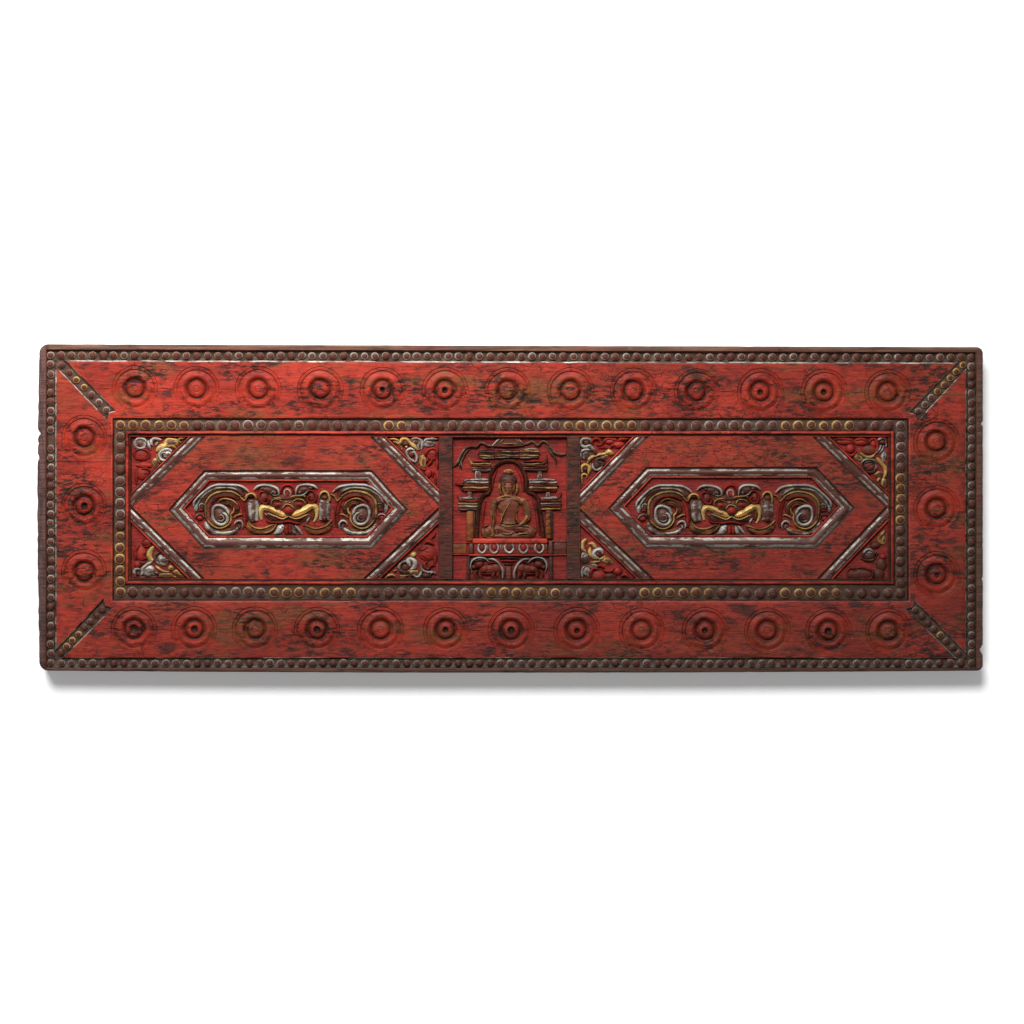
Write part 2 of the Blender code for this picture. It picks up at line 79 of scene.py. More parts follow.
# Terraces of the face, from the margin inwards: left, right, upper, lower, height, slot
FACE_TERRACES = (
    (-353.0, 354.6, 121.0, -121.9, 29.4, WOOD),
    (-352.3, 353.9, 120.2, -121.2, 28.9, CREST),
    (-351.8, 353.3, 119.6, -120.8, 27.3, SHADE_AND_GRIME),
    (-351.2, 352.7, 119.0, -120.3, 27.1, CHANNEL),
    (-346.4, 347.6, 113.4, -114.7, 27.2, CHANNEL),
    (-345.8, 347.0, 112.8, -114.1, 28.6, CHANNEL),
    (-345.2, 346.5, 112.2, -113.6, 29.4, SILVER),
    (-344.6, 346.0, 111.7, -113.1, 29.6, SILVER),
    (-303.2, 304.1, 69.7, -71.2, 29.6, RED),
    (-302.3, 303.2, 68.9, -70.4, 29.3, FILLET),
    (-301.7, 302.5, 68.3, -69.7, 28.7, SHADE_AND_GRIME),
    (-301.0, 301.8, 67.6, -69.1, 27.0, SHADE_AND_GRIME),
    (-293.0, 292.6, 59.6, -58.5, 27.1, CHANNEL),
    (-292.4, 292.0, 58.9, -57.8, 28.6, SHADE_AND_GRIME),
    (-291.7, 291.3, 58.2, -57.1, 29.5, FILLET),
    (-290.9, 290.5, 57.4, -56.3, 29.75, FILLET),
    (-290.2, 289.8, 56.7, -55.6, 29.3, FILLET),
    (-289.6, 289.1, 56.0, -55.0, 27.6, SHADE_AND_GRIME),
    (-288.9, 288.5, 55.4, -54.4, 27.5, SHADE_AND_GRIME),
    (-288.4, 288.0, 54.8, -53.8, 28.4, RED),
)

# Beads: place of the rows' corners, gaps along each side, size
OUTER_BEAD_CORNERS = ((-349.3, 116.5), (350.7, 116.8), (350.7, -117.6), (-349.3, -117.6))
OUTER_BEAD_GAPS = (88, 33, 88, 33)
OUTER_BEAD_RADIUS = 3.3
INNER_BEAD_CORNERS = ((-296.4, 63.2), (297.0, 63.0), (297.0, -64.4), (-296.4, -63.7))
INNER_BEAD_GAPS = (61, 16, 61, 15)
INNER_BEAD_RADIUS = 4.2
BEAD_TOP = 29.8
BEAD_FOOT = CHANNEL_FLOOR - 0.4
BEAD_PROFILE = ((0.97, 0.22), (0.90, 0.55), (0.74, 0.84), (0.52, 0.97), (0.28, 1.0))
MISSING_BEAD = (-349.0, 48.0, 55.0)
MITRE_BEAD_RADIUS = 3.1
MITRE_HALF_WIDTH = 4.5
MITRE_OUTWARD = 6.5
MITRE_INWARD = 2.5
MITRE_WALL = ((0.35, 0.5, SILVER, 0), (0.4, 0.6, SILVER, 0), (0.4, 1.25, SHADE_AND_GRIME, 0))
FORK_LENGTH = 4
FORK_SPREAD = 1.15
GOLD, PALE, BROWN = "gold", "silver", "brown"

# Mitre channels: first and last bead from the corner inwards, leaf of their beads
MITRES = (
    ((-340.8, 109.2), (-307.0, 74.9), (BROWN, BROWN, GOLD, GOLD, BROWN, PALE, PALE)),
    ((344.2, 111.0), (310.4, 74.2), (GOLD, GOLD, GOLD, GOLD, GOLD, PALE, PALE, PALE)),
    ((-342.0, -110.0), (-309.8, -76.5), (BROWN, GOLD, GOLD, GOLD, BROWN, BROWN, BROWN, BROWN)),
    ((341.5, -110.3), (308.1, -77.3), (BROWN, BROWN, BROWN, GOLD, BROWN, BROWN, BROWN, BROWN)),
)

# Leaf of the inner beads, side by side from the upper left corner, as runs of beads
INNER_BEAD_LEAF = (
    ((6, GOLD), (4, BROWN), (5, PALE), (6, BROWN), (2, GOLD), (6, BROWN), (6, PALE), (6, GOLD),
     (5, BROWN), (6, PALE), (6, GOLD), (3, BROWN)),
    ((5, PALE), (5, GOLD), (6, BROWN)),
    ((5, BROWN), (5, GOLD), (5, BROWN), (6, GOLD), (6, BROWN), (6, GOLD), (5, PALE), (5, BROWN),
     (7, GOLD), (5, PALE), (6, BROWN)),
    ((6, GOLD), (5, PALE), (4, BROWN)),
)

# Roundels: radius and height over the band, from the middle outwards, then their rows and worn holes
ROUNDEL_PROFILE = (
    (1.0, -0.35), (1.9, -0.5), (2.4, -0.75), (2.9, -0.5), (4.2, -0.6), (5.4, -1.1), (6.1, -1.9), (6.6, -2.9),
    (7.1, -3.1), (7.7, -2.9), (8.4, -2.0), (9.3, -0.9), (10.3, -0.4), (11.5, -0.45), (12.9, -0.9),
    (13.8, -1.35), (14.4, -1.4), (15.0, -0.95), (15.6, -0.5), (16.0, -0.65), (16.4, -0.45), (16.9, -0.45),
    (17.2, -0.6), (17.6, -0.3), (17.9, 0.1), (18.2, 0.7),
)
ROUNDEL_STEPS = 44
ROUNDEL_LEVEL = BAND_TOP - 0.05
ROUNDEL_EYE = -0.7
ROUNDEL_GROOVE = (6.8, 7.4)
CUTTER_RISE = 4.0
HOLE_DEPTH = 3.2
HOLE_ASIDE = 0.4
UPPER_HOLES = {4: 2.0, 5: 2.2, 10: 2.4, 11: 2.4}
LOWER_HOLES = {0: 3.4, 1: 3.0, 3: 2.8, 5: 2.2, 6: 2.8, 7: 2.4, 9: 2.4, 11: 2.8}
UPPER_ROUNDELS = 13
UPPER_FIRST_PITCH = 46.78
UPPER_PITCH_GROWTH = 0.158
UPPER_START = (-285.3, 91.0)
UPPER_FALL = 3.0
LOWER_START = (-285.9, -91.9)
LOWER_PITCH = 47.8
LOWER_DRIFT = 4.2
LOWER_FALL = 1.6
LEFT_ROUNDELS = ((-323.8, 53.6), (-323.8, 1.9), (-323.8, -48.3))
RIGHT_ROUNDELS = ((324.5, 50.5), (324.5, -0.4), (324.5, -50.5))
SIDE_HOLES = (0, 2.6, 0, 0, 0, 1.5)
LINE_START = 17.9
TICK_START = 17.8

# Hexagons: middle x, middle y, reach of the tips, half of the straight side, half of the height
HEXAGONS = (
    (-168.8, -1.1, 91.5, 64.0, 30.4),
    (168.4, 0.3, 94.3, 64.8, 31.4),
)

# Profile of a moulding from the field inwards: way in, way down, slot, shift towards the upper edge
HEXAGON_STEPS = (
    (0.4, 0.3, CREST, 0.0), (0.5, 1.25, SHADE_AND_GRIME, 0.0), (0.7, 0.1, SHADE_AND_GRIME, 0.0), (0.5, -0.45, SILVER, 0.1),
    (0.9, -0.7, SILVER, 0.15), (0.5, -0.2, SILVER, 0.05), (1.1, -0.05, CREST, 0.15), (1.1, 0.1, CREST, 0.15),
    (0.5, 0.25, CREST, 0.1), (1.1, 0.75, SILVER, 0.2), (0.6, 0.5, SILVER, 0.1), (0.4, 0.1, SHADE_AND_GRIME, 0.1),
    (0.3, -0.6, FILLET, 0.1), (0.6, -0.1, FILLET, 0.0), (0.4, 0.2, FILLET, 0.0), (0.35, 2.8, SHADE_AND_GRIME, 0.0),
)

# Section of the diagonal mouldings: distance from the triangle, height, slot of the stretch before it
DIAGONAL_SECTION = (
    (-0.1, 26.0, FILLET), (0.15, 27.9, FILLET), (0.8, 28.1, FILLET), (1.2, 27.6, FILLET), (1.5, 26.8, SHADE_AND_GRIME),
    (2.0, 26.9, SHADE_AND_GRIME), (2.9, 27.7, SILVER), (3.6, 28.1, SILVER), (4.6, 28.15, CREST), (5.7, 28.0, CREST),
    (6.4, 27.5, SILVER), (7.2, 26.9, SILVER), (7.6, 26.7, SHADE_AND_GRIME), (8.3, 26.8, SHADE_AND_GRIME), (8.9, 28.1, SHADE_AND_GRIME),
    (9.4, 28.6, CREST),
)

# Corner triangles: x and y of the corner, way in along x and y, legs along x and y
CORNERS = (
    (-288.4, 54.6, 1, -1, 44.0, 42.5),
    (-54.0, 54.6, -1, -1, 40.0, 40.0),
    (-288.4, -53.4, 1, 1, 43.5, 43.0),
    (-54.0, -53.4, -1, 1, 44.5, 42.0),
    (53.2, 54.6, 1, -1, 40.0, 41.0),
    (287.8, 54.6, -1, -1, 45.0, 43.5),
    (53.2, -53.4, 1, 1, 43.0, 41.0),
    (287.8, -53.4, -1, 1, 42.0, 44.0),
)

# Shrine between the two uprights
SHRINE = (-44.1, 43.7, 54.4, -54.3)
POST_OUTER_EDGES = (-53.4, 52.6)

# Walls of the corner triangles and the shrine, as steps of a moulding
CORNER_WALL = ((0.4, FIELD - CORNER_GROUND, SHADE_AND_GRIME, 0.0),)
SHRINE_WALL = ((0.3, 0.6, CREST, 0.0), (0.3, FIELD - SHRINE_GROUND - 0.6, SHADE_AND_GRIME, 0.0))

# Notches broken out of the ends: side, place along it, half height, depth
END_NOTCHES = (
    (-1, 57.0, 2.6, 2.6), (-1, 50.0, 1.6, 1.2), (-1, 38.8, 1.8, 1.9), (-1, -20.0, 2.0, 0.8),
    (1, 64.4, 1.7, 2.0), (1, -53.2, 1.6, 1.3), (1, -107.4, 4.0, 2.6),
)

# Drying cracks and stray cuts in the band and in the field
BAND_CRACKS = (
    ((-303.5, 91.5), (-316.0, 91.0)),
    ((302.5, 87.0), (308.0, 86.0), (317.5, 84.5)),
    ((324.8, 68.8), (325.5, 78.0)),
    ((-354.5, 35.6), (-302.5, 35.4)),
    ((338.0, -53.4), (355.0, -53.6)),
    ((-304.0, -91.0), (-311.0, -91.5)),
    ((-324.0, -67.0), (-324.4, -75.5)),
)
FIELD_CRACKS = (
    ((-275.0, 3.2), (-259.5, 2.4)),
    ((-272.0, -1.6), (-262.0, -1.9)),
    ((-240.0, 41.0), (-214.0, 41.6)),
    ((-231.0, -44.0), (-196.0, -44.6)),
    ((120.0, -45.5), (160.0, -46.2)),
    ((92.0, 42.0), (118.0, 42.4)),
)

# Colours that several surfaces share
# Dark brown for real dirt, stains and cracks, and also for the painted shade in hollows and towards the lower
# right.
DIRT_AND_SHADE = (0.014, 0.008, 0.006)
WORN_WOOD = (0.175, 0.047, 0.015)
WORN_CREST = (0.085, 0.022, 0.014)
BEAD_TOP_BROWN = (0.075, 0.017, 0.010)
CHALKY = (0.42, 0.11, 0.075)
RED_REST = (0.11, 0.020, 0.011)
BURNT_WOOD = ((0.105, 0.045, 0.038), (0.035, 0.015, 0.014))
PALE_WOOD = (0.28, 0.14, 0.075)
DEEP_RED = (0.235, 0.018, 0.009)
OLD_SILVER = (0.50, 0.46, 0.40)

# Where the burnt left end starts and is full, in metres; the way that hands rub, and the way that the painted
# light falloff darkens the board
BURNT_END = (-0.3475, -0.352)
RUB_WAY = Vector((0.05, 0.0, 1.0))
PAINTED_FALLOFF_WAY = (0.9, -3.6, 0.0)

# Lacquers and paints: key, name, fresh colour, deep colour, wear, dirt, colour where it is worn
LACQUERS = (
    ("red", "red_lacquer", (0.36, 0.030, 0.015), DEEP_RED, 0.07, 0.03),
    # The raised fillets take a brighter copy of the red lacquer, which stands in part for a painted highlight
    # on them.
    ("fillet", "fillet_lacquer_painted_highlight", (0.54, 0.050, 0.028), DEEP_RED, 0.02, -0.05),
    ("ground", "ground_lacquer", (0.30, 0.016, 0.010), (0.22, 0.013, 0.009), -0.12, -0.08),
    ("post", "post_lacquer", (0.12, 0.020, 0.011), (0.07, 0.014, 0.008), 0.10, 0.06, (0.07, 0.026, 0.012)),
    # Dark lacquer of groove walls, drops and dark marks: dirt and painted shade in one.
    ("grime", "groove_grime_and_shade", (0.11, 0.018, 0.011), (0.05, 0.013, 0.009), 0.0, 0.05),
    ("hair", "hair_paint", (0.075, 0.030, 0.022), (0.045, 0.020, 0.015), 0.0, 0.05),
    ("crimson", "red_carving", (0.33, 0.024, 0.016), (0.22, 0.017, 0.011), -0.04, -0.06),
    ("umber", "brown_carving", (0.16, 0.032, 0.018), (0.10, 0.022, 0.013), 0.0, 0.0, (0.085, 0.035, 0.018)),
    ("russet", "russet_carving", (0.19, 0.026, 0.014), (0.115, 0.018, 0.010), 0.0, 0.0, (0.12, 0.04, 0.018)),
    ("ochre", "ochre_paint", (0.27, 0.075, 0.012), (0.17, 0.036, 0.010), 0.06, 0.04, (0.10, 0.035, 0.015)),
)

# Leaf: key, name, bright and dull colour, where the worn crests start and end, metal, rubbing, crest
# colour, reach of the dirt and painted shade in hollows, share of the lost patches
LEAVES = (
    ("channel", "channel_ground", (0.13, 0.088, 0.058), (0.055, 0.03, 0.02), 0.99, 1.0, 0.2, 0.25,
        (0.07, 0.03, 0.018)),
    ("silver", "silver_leaf", OLD_SILVER, (0.24, 0.195, 0.155), 0.95, 0.99, 0.35, 0.25),
    ("crest", "rubbed_leaf", (0.24, 0.16, 0.115), (0.14, 0.07, 0.045), 0.60, 0.90, 0.25, 0.42),
    ("new_silver", "bright_silver_leaf", (0.74, 0.69, 0.61), OLD_SILVER, 0.985, 1.0, 0.4, 0.05,
        WORN_CREST, 1.3, 0.4),
    ("gold", "gold_leaf", (0.86, 0.56, 0.20), (0.62, 0.36, 0.11), 0.99, 1.0, 0.4, 0.05, WORN_CREST, 1.3, 0.3),
    ("old_gold", "rubbed_gold_leaf", (0.66, 0.40, 0.13), (0.32, 0.175, 0.05), 0.93, 0.99, 0.4, 0.30,
        WORN_CREST, 1.4, 0.6),
    ("figure", "figure_leaf", (0.50, 0.27, 0.08), (0.20, 0.075, 0.03), 0.70, 0.88, 0.3, 0.66,
        (0.15, 0.036, 0.019), 1.6, 0.9),
    ("brown", "brown_leaf", (0.20, 0.12, 0.075), (0.11, 0.05, 0.03), 0.85, 0.97, 0.2, 0.45),
    ("bead_gold", "bead_gold", (0.72, 0.45, 0.15), (0.44, 0.24, 0.075), 0.84, 0.88, 0.4, 0.7,
        BEAD_TOP_BROWN, 1.4, 0.35),
    ("bead_silver", "bead_silver", (0.46, 0.39, 0.31), (0.28, 0.21, 0.15), 0.82, 0.87, 0.4, 0.7,
        BEAD_TOP_BROWN, 1.4, 0.4),
    ("bead_brown", "bead_brown", (0.36, 0.25, 0.17), (0.14, 0.075, 0.045), 0.74, 0.82, 0.3, 0.75,
        BEAD_TOP_BROWN, 1.4, 0.6),
)

# Table, lamps and camera, in metres where no millimetres are named
TABLE_WHITE = 0.90
TABLE_GLOW = 0.22
ROOM_LIGHT = 0.16
WINDOW_STRENGTH = 2.75
WINDOW_WAY = (-0.16, 0.52, 1.0)
SOFTBOX_STRENGTH = 4.2
SOFTBOX_SIZE = (0.7, 0.12)
SOFTBOX_PLACE = (-0.20, 0.40, 0.34)
SOFTBOX_WAY = (0, 0.35, 1.0)
CAMERA_HEIGHT = 4.0
SENSOR = 36
PICTURE_WIDTH = 1024 * 0.76

# Carved strokes: leaf or paint, height, half width or half widths, then x and y of each point. A stroke
# with one point is a knob, and its half width, half length and turn stand in for the half widths. In
# the hexagons and the corners all gouge widths are taken broader.
THINNEST_RIB = 0.05
HEXAGON_BROAD = 1.3
CORNER_BROAD = 1.45
SCROLL_STROKES = (
    ("brown", 2.2, 2.6, -16.5, 6, -15, 11.5, -10.5, 16.6, -5, 20, 2, 21.2, 10, 20.8, 15, 18.2, 17.6, 15),
    ("new_silver", 4.2, 0.85, -20.4, 7, -20, 10, -17.2, 13.6, -13.6, 17, -10, 20, -6.4, 22, -2.6, 23.1,
        2, 23.3, 9.5, 23, 15.5, 22.2, 19, 20.4, 22, 17.8),
    ("silver", 3.6, 0.8, -17.8, 6, -16.8, 9.6, -13.4, 14.4, -9.6, 17.6, -5, 20, 2, 21, 9.5, 20.6,
        13.5, 18.8, 16.5, 16.2),
    ("silver", 2.6, 1.5, -18.8, 2.4, -18.6, 6, -17.2, 9.4),
    ("umber", 3, 2.5, 14.4, 12.6, 10, 15.4, 4, 16.2, -2, 15.2, -6.4, 12.2, -8.8, 8, -9, 3, -8.4, -2,
        -5.6, -6, -1, -8),
    ("old_gold", 4.3, 0.9, 15.6, 14.6, 11.4, 17, 7, 18.2, 2.4, 18.2, -2, 17.4, -5.6, 15.8, -8.6, 13.2,
        -10.6, 10.2, -11.2, 6.6, -11, 2, -10.8, -2),
    ("gold", 4.2, 0.6, -10.4, -2.4, -8.6, -5, -6, -7.6, -3, -9.3, 0.4, -9.7, 3.4, -8.8, 6.2, -6.8, 8, -4,
        8.3, -1, 8.2, 0.8, 9.6, 2.2, 10.4, 4.8, 9.6, 7.2),
    ("crimson", 4, 0.55, 13.6, 12, 8, 14.6, 2.6, 14.9, -2.4, 13.8, -6, 10.8, -7.8, 7, -8, 2, -6.8, -3),
    ("crimson", 3.4, 1.7, 15, 12.4, 17.6, 8.4, 18.8, 3, 18.9, -3, 18.6, -8.6),
    ("crimson", 4.2, 0.5, 14.6, 13.4, 18, 9.4, 19.6, 4, 19.8, -2, 19.4, -7.6),
    ("old_gold", 4.2, 0.6, 14.6, 14.8, 16.6, 12.6, 18.4, 11.2, 19.4, 12.6, 21, 15, 24, 16),
    ("umber", 3.4, 2, 1.4, 9.6, 6.4, 10.2, 10.6, 8.4, 12.4, 5, 12, 1.6),
    ("old_gold", 4.3, 0.65, -1.8, 10.8, 0.6, 12.3, 3.6, 12.9, 7, 12.3, 10.4, 10.5, 12.8, 7.8, 13.7, 5),
    ("ochre", 3.9, 1, 2.6, 8.6, 6, 8.8, 8.6, 7.4, 9, 4.8),
    ("gold", 3.9, 0.55, 9.8, -1.8, 12, -0.3, 14.2, 0.8, 16.6, 0.8),
    ("brown", 3, (5.4, 5.6, 0), 0, 0.6),
    ("new_silver", 4.4, 1.05, 6.4, 0.2, 5.8, 3, 4, 5.6, 1, 7.1, -2.4, 7.4, -5, 6, -6, 3, -5.8, -0.6,
        -4.6, -4, -2, -6.2, 1.4, -6.8, 4, -5.6, 5.4, -3, 4.8, -0.2, 3, 1.6, 0.6, 2),
    ("silver", 4.2, 0.6, -2.6, -3, 0.4, -4.2, 2.4, -2.8, 2, -0.6, 0, 0.4, -1.6, 0),
    ("crimson", 4, (1.2, 1.1, 0), 0.8, -1.8),
    ("new_silver", 3.8, 0.75, 10.6, -7, 12, -5, 14.2, -4.1, 16.2, -5, 17, -7.4, 16.4, -9.8),
    ("silver", 3.2, 0.7, 13.6, -6.8, 14.6, -8.6, 13.8, -10.2),
    ("brown", 2.4, (2.6, 2.6, 0), -14, 7),
    ("silver", 3.8, 0.6, -15.6, 5, -16, 7.4, -14.8, 8.9, -12.8, 8.6, -12, 7),
    ("crimson", 3, (2.6, 2.2, 0), -15.6, -1.6),
    ("silver", 3.8, 0.6, -19, -1.8, -17.6, 0.3, -15.4, 1, -13, 0.2, -12, -1.8),
    ("crimson", 2.8, 0.8, -17, 3.6, -14.6, 4.2, -12.4, 3.4),
    ("silver", 2.8, 1.7, -11.6, -5, -10, -8.4, -6.8, -11.6, -2, -13.2, 5, -13.2, 10.6, -11.8, 13.6, -9.6),
    ("ochre", 2.6, 1.6, -3, -10.8, 3, -11.6, 9, -10.6, 12, -8.8),
)
MASK_STROKES = (
    ("umber", 3.2, (13.6, 7.4, 0), 0, 4.6),
    ("umber", 2, (16.4, 5.4, 0), 0, -4.8),
    ("umber", 3, 3, -22, 14.8, -17, 15.8, -12, 15, -9, 12.8),
    ("new_silver", 4.3, 0.95, -26, 15.2, -23.6, 17.5, -20.4, 18.5, -16.4, 18.6, -12.4, 17.9, -9.2, 16.4,
        -7.2, 14.2, -7.2, 11.6),
    ("silver", 4.1, 0.6, -14, 12, -11.6, 14, -9.8, 15.6),
    ("silver", 4, 0.6, -13.4, 12.2, -10.4, 11, -7.4, 11.4),
    ("silver", 4, 0.45, -16.4, 18, -15.4, 15.6, -14.4, 13.6),
    ("brown", 4, (1.5, 1.2, 0), -19.4, 16.2),
    ("brown", 4, (1.4, 1.3, 0), -17.2, 15.6),
    ("brown", 4, (1.3, 1.5, 0), -10.4, 13.2),
    ("umber", 3, 2.9, 7.6, 12.6, 9.4, 15.2, 13.4, 16, 18.4, 15.8),
    ("new_silver", 4.3, 0.95, 5.4, 11, 5.6, 14, 6.9, 16.8, 9.2, 18.4, 12.6, 19, 16.4, 18.8, 19.6, 17.9,
        22.2, 16),
    ("silver", 4.2, 0.6, 5.6, 11.2, 9, 10.9, 11.6, 11.4, 13.6, 12.8, 15.6, 15.4),
    ("brown", 4, (1.3, 1.5, 0), 8.8, 13.4),
    ("brown", 4, (1.6, 1.2, 0), 12.4, 15.8),
    ("brown", 4, (1.7, 1.1, 0), 17, 16.8),
    ("crimson", 3.2, (4.4, 4.4, 0), -0.4, 13.6),
    ("crimson", 4.3, 0.95, -5.6, 12, -5.8, 15, -4.2, 17.6, -1.4, 18.9, 1.4, 18.8, 3.8, 17, 4.8, 14.4,
        4.6, 11.6),
    ("new_silver", 4.5, 0.65, -1.6, 9.6, -2.9, 12.4, -2.4, 14.6, -0.8, 15.3, 1, 14.4, 1.6, 12.2, 0.8, 9.8),
    ("crimson", 3, 2.6, -20.4, 12, -20.2, 9, -17.6, 7),
    ("crimson", 4.1, 0.8, -17, 12, -19.4, 13.8, -21.4, 13.4, -22.2, 10.8, -21.4, 7.8, -19.2, 5.5, -16.4, 5,
        -15.2, 7.2, -16.6, 9.4, -18.4, 8.6),
    ("crimson", 3.2, 2.6, 17.6, 12, 18.4, 9, 16.6, 7.6),
    ("russet", 3.3, (3.2, 4, 0), -18.8, 9.6),
    ("russet", 3.3, (3, 4, 0), 17.8, 9.8),
    ("crimson", 4.2, 0.8, 14.8, 12, 16, 14.6, 18.4, 14.4, 20.4, 12, 21, 9, 19.8, 6.4, 17.2, 5.6, 15, 6.8,
        14.8, 9, 16.6, 10.4, 18.8, 9.6),
    ("umber", 4, 1.6, -11.6, 9, -6, 8.6, 0, 8.8, 6, 9.4, 12, 9.4),
    ("old_gold", 4.4, 0.6, -12.6, 9.8, -9.6, 8.7, -6, 8.9, -2.4, 8.6),
    ("old_gold", 4.5, 0.6, -0.6, 8.8, 3, 10.2, 8, 10.5, 12.4, 10.4, 12.8, 8),
    ("old_gold", 4.6, 0.5, -12.8, 3, -12.6, 6.2, -11, 7.8, -7.6, 7.8, -4.6, 6.6, -3, 4.6),
    ("gold", 4.7, 0.5, 3.2, 3.6, 4, 6.4, 6, 7.9, 8.6, 8, 11.4, 7.2, 12.6, 5),
    ("crimson", 4.2, (3.5, 2.5, 0), -7.8, 4.2),
    ("crimson", 4.2, (3.4, 2.4, 0), 8, 4.4),
    ("umber", 4.7, 0.5, -10.8, 5.3, -8, 6.4, -5.4, 5.6),
    ("umber", 4.7, 0.5, 5.4, 5.2, 7.8, 6.2, 10.4, 5.6),
    ("umber", 4.9, (1.3, 1, 0), -7.8, 3.9),
    ("umber", 4.9, (1.3, 1, 0), 8, 4.1),
    ("umber", 3.8, 0.9, -12.4, 1.8, -8.4, 0.6, -4.4, 2),
    ("umber", 3.8, 0.9, 4.8, 2, 8.6, 1, 12.8, 2.4),
    ("gold", 4.8, (0.9, 0.8, 0), -1.6, 6),
    ("old_gold", 4.7, (0.9, 0.8, 0), 1.1, 5.5),
    ("crimson", 4.8, (4.2, 3.5, 0), 0.3, 0),
    ("umber", 4.2, 0.9, -3.6, -1.2, 0.5, -3.6, 4.6, -1.2),
    ("gold", 5, 0.55, -4.8, 0.6, -3.2, 2.4, -1.9, 3.9, 0.2, 4, 1.6, 3.6, 3, 2.4, 4.8, 0.8),
    ("gold", 3.6, (0.7, 1.3, 1.9, 2, 1.8, 1.9, 2, 1.9, 1), -20.4, -7.4, -21.2, -3.4, -20.9, 0, -19, 2,
        -15.6, 1.6, -12, 0.2, -8, -1.6, -4, -3.4, -0.4, -4.8),
    ("old_gold", 4, 0.6, -16.6, 0.6, -12.4, -0.8, -8.4, -2.6, -4.4, -4.2),
    ("gold", 3.9, (0.6, 1.2, 1.5, 1.9, 2.2, 2.3, 2.4, 2.2, 1.6, 0.8), 19, -9.6, 21.2, -5.4, 21.6, -1.6,
        20.8, 1.6, 18, 3, 14.4, 1.2, 10.6, -0.8, 7, -2.4, 3.6, -3.8, 1, -4.9),
    ("ochre", 3.2, 1, 18.8, 1, 19, -3, 17.8, -7.4),
    ("gold", 4.1, 0.55, -15.8, -2.7, -12.4, -4.1, -9, -5.3, -6, -6.5, -3.5, -6.9, -1.4, -5.8, 0.2, -4.9,
        1.4, -5.4, 3.4, -6.5, 6, -6.9, 9.4, -6.1, 12.4, -4.7, 15.2, -3.4),
    ("new_silver", 4, 0.7, -17.6, -3, -16.2, -4),
    ("crimson", 3.6, 0.8, -17.6, -5.2, -16, -8.2, -12, -9.8),
    ("new_silver", 4, 0.8, 16.2, -6, 14.6, -8.2, 14, -9.8),
    ("crimson", 3.4, 0.9, -12, -9.4, -7, -9.5, -2.6, -8.9, 1.4, -8.9, 5.4, -9.9, 9.6, -10),
    # Dark strip under the moustache: painted shade, with dirt.
    ("grime", 2.6, 1.3, -13, -7, -6, -8.2, 0, -7.4, 6, -8.4, 12, -7.2),
    ("new_silver", 3.6, (1, 2.3, 2.1, 0.5), -4, -11.2, -5.6, -13.6, -7.2, -16, -10.8, -18.4),
    ("brown", 3.7, (0.7, 0.9, 0), -4.3, -13.2),
    ("crimson", 3.4, (0.7, 1.4, 1.5, 0.8), -1, -11.4, -1.4, -14, -1.4, -16.6, -1, -19),
    ("crimson", 3, (0.5, 1.2, 1.3, 0.7), 1, -11.8, 1.2, -14, 1.4, -16.6, 1.4, -18.8),
    ("silver", 3.4, (0.8, 1.5, 1.4, 0.6), 3.4, -12, 4, -14.4, 4.8, -16.8, 6, -18.8),
    ("new_silver", 3.6, (0.6, 0.95, 0.9, 0.4), 4.8, -12, 6.8, -13.6, 8.6, -15.8, 10.6, -18.6),
    ("ochre", 2.6, 2.4, -31.6, -8.6, -29.4, -13, -25, -15.6, -20, -16.2, -15, -15, -11.6, -12.6),
    ("old_gold", 4, 0.65, -30.4, -7.6, -29.2, -10.8, -26.6, -13, -22.4, -14.2, -18, -13.8, -14.6, -12.4,
        -10.8, -11.4),
    ("old_gold", 3.6, 0.65, -20, -18, -15.8, -17.2, -12.4, -15.4, -10.4, -13, -8.8, -10.8),
    ("ochre", 2.6, 2.4, 12.4, -13, 16, -15, 21, -16.4, 26, -15.8, 30, -13.6, 32.8, -10.6),
    ("old_gold", 4, 0.65, 10.8, -11.6, 14, -12.3, 17, -13.5, 21, -14.4, 25, -13.8, 28.6, -12.2, 31.6, -9.8,
        33.4, -7.8),
    ("crimson", 3.4, 0.6, 15.6, -16.8, 21, -18.3, 26.6, -17, 31.4, -14),
    ("silver", 3.6, (3.2, 3.6, 3.4, 2.6), -26.6, 7.4, -26.6, 3, -26.8, -4, -26, -8.6),
    ("brown", 3.9, 1, -25.2, 3, -25.6, -2, -25.2, -6.6),
    ("ochre", 3.6, 1.2, -31, 9.6, -28.8, 10.4, -26, 9.4),
    ("gold", 4.4, 0.8, -33, 9.6, -30.6, 11.6, -28, 12.3, -25.6, 11, -24.4, 8.4),
    ("silver", 3.7, (3, 3.6, 3.6, 3), 27.8, 9, 27.6, 3, 27.4, -3, 27.2, -7.6),
    ("umber", 4.3, (2.6, 2.2, 0), 27.6, -6.6),
    ("umber", 4.2, (3, 2.6, 0), 27.6, 9.4),
    ("gold", 4.5, 0.8, 23.8, 9, 24.6, 12, 26.8, 13.8, 29.2, 13.2, 30.8, 10.6, 31.4, 7.4, 30.4, 5),
    ("old_gold", 4.6, 0.5, 25, 7.8, 26.6, 9.6, 28.6, 9.4, 29.4, 8),
)
MASKS = {"left": (-168.7, -1.1), "right": (168.3, -1.5)}
SCROLL_REACH = {-1: 51.7, 1: 55.7}
SCROLL_DROP = -4.3

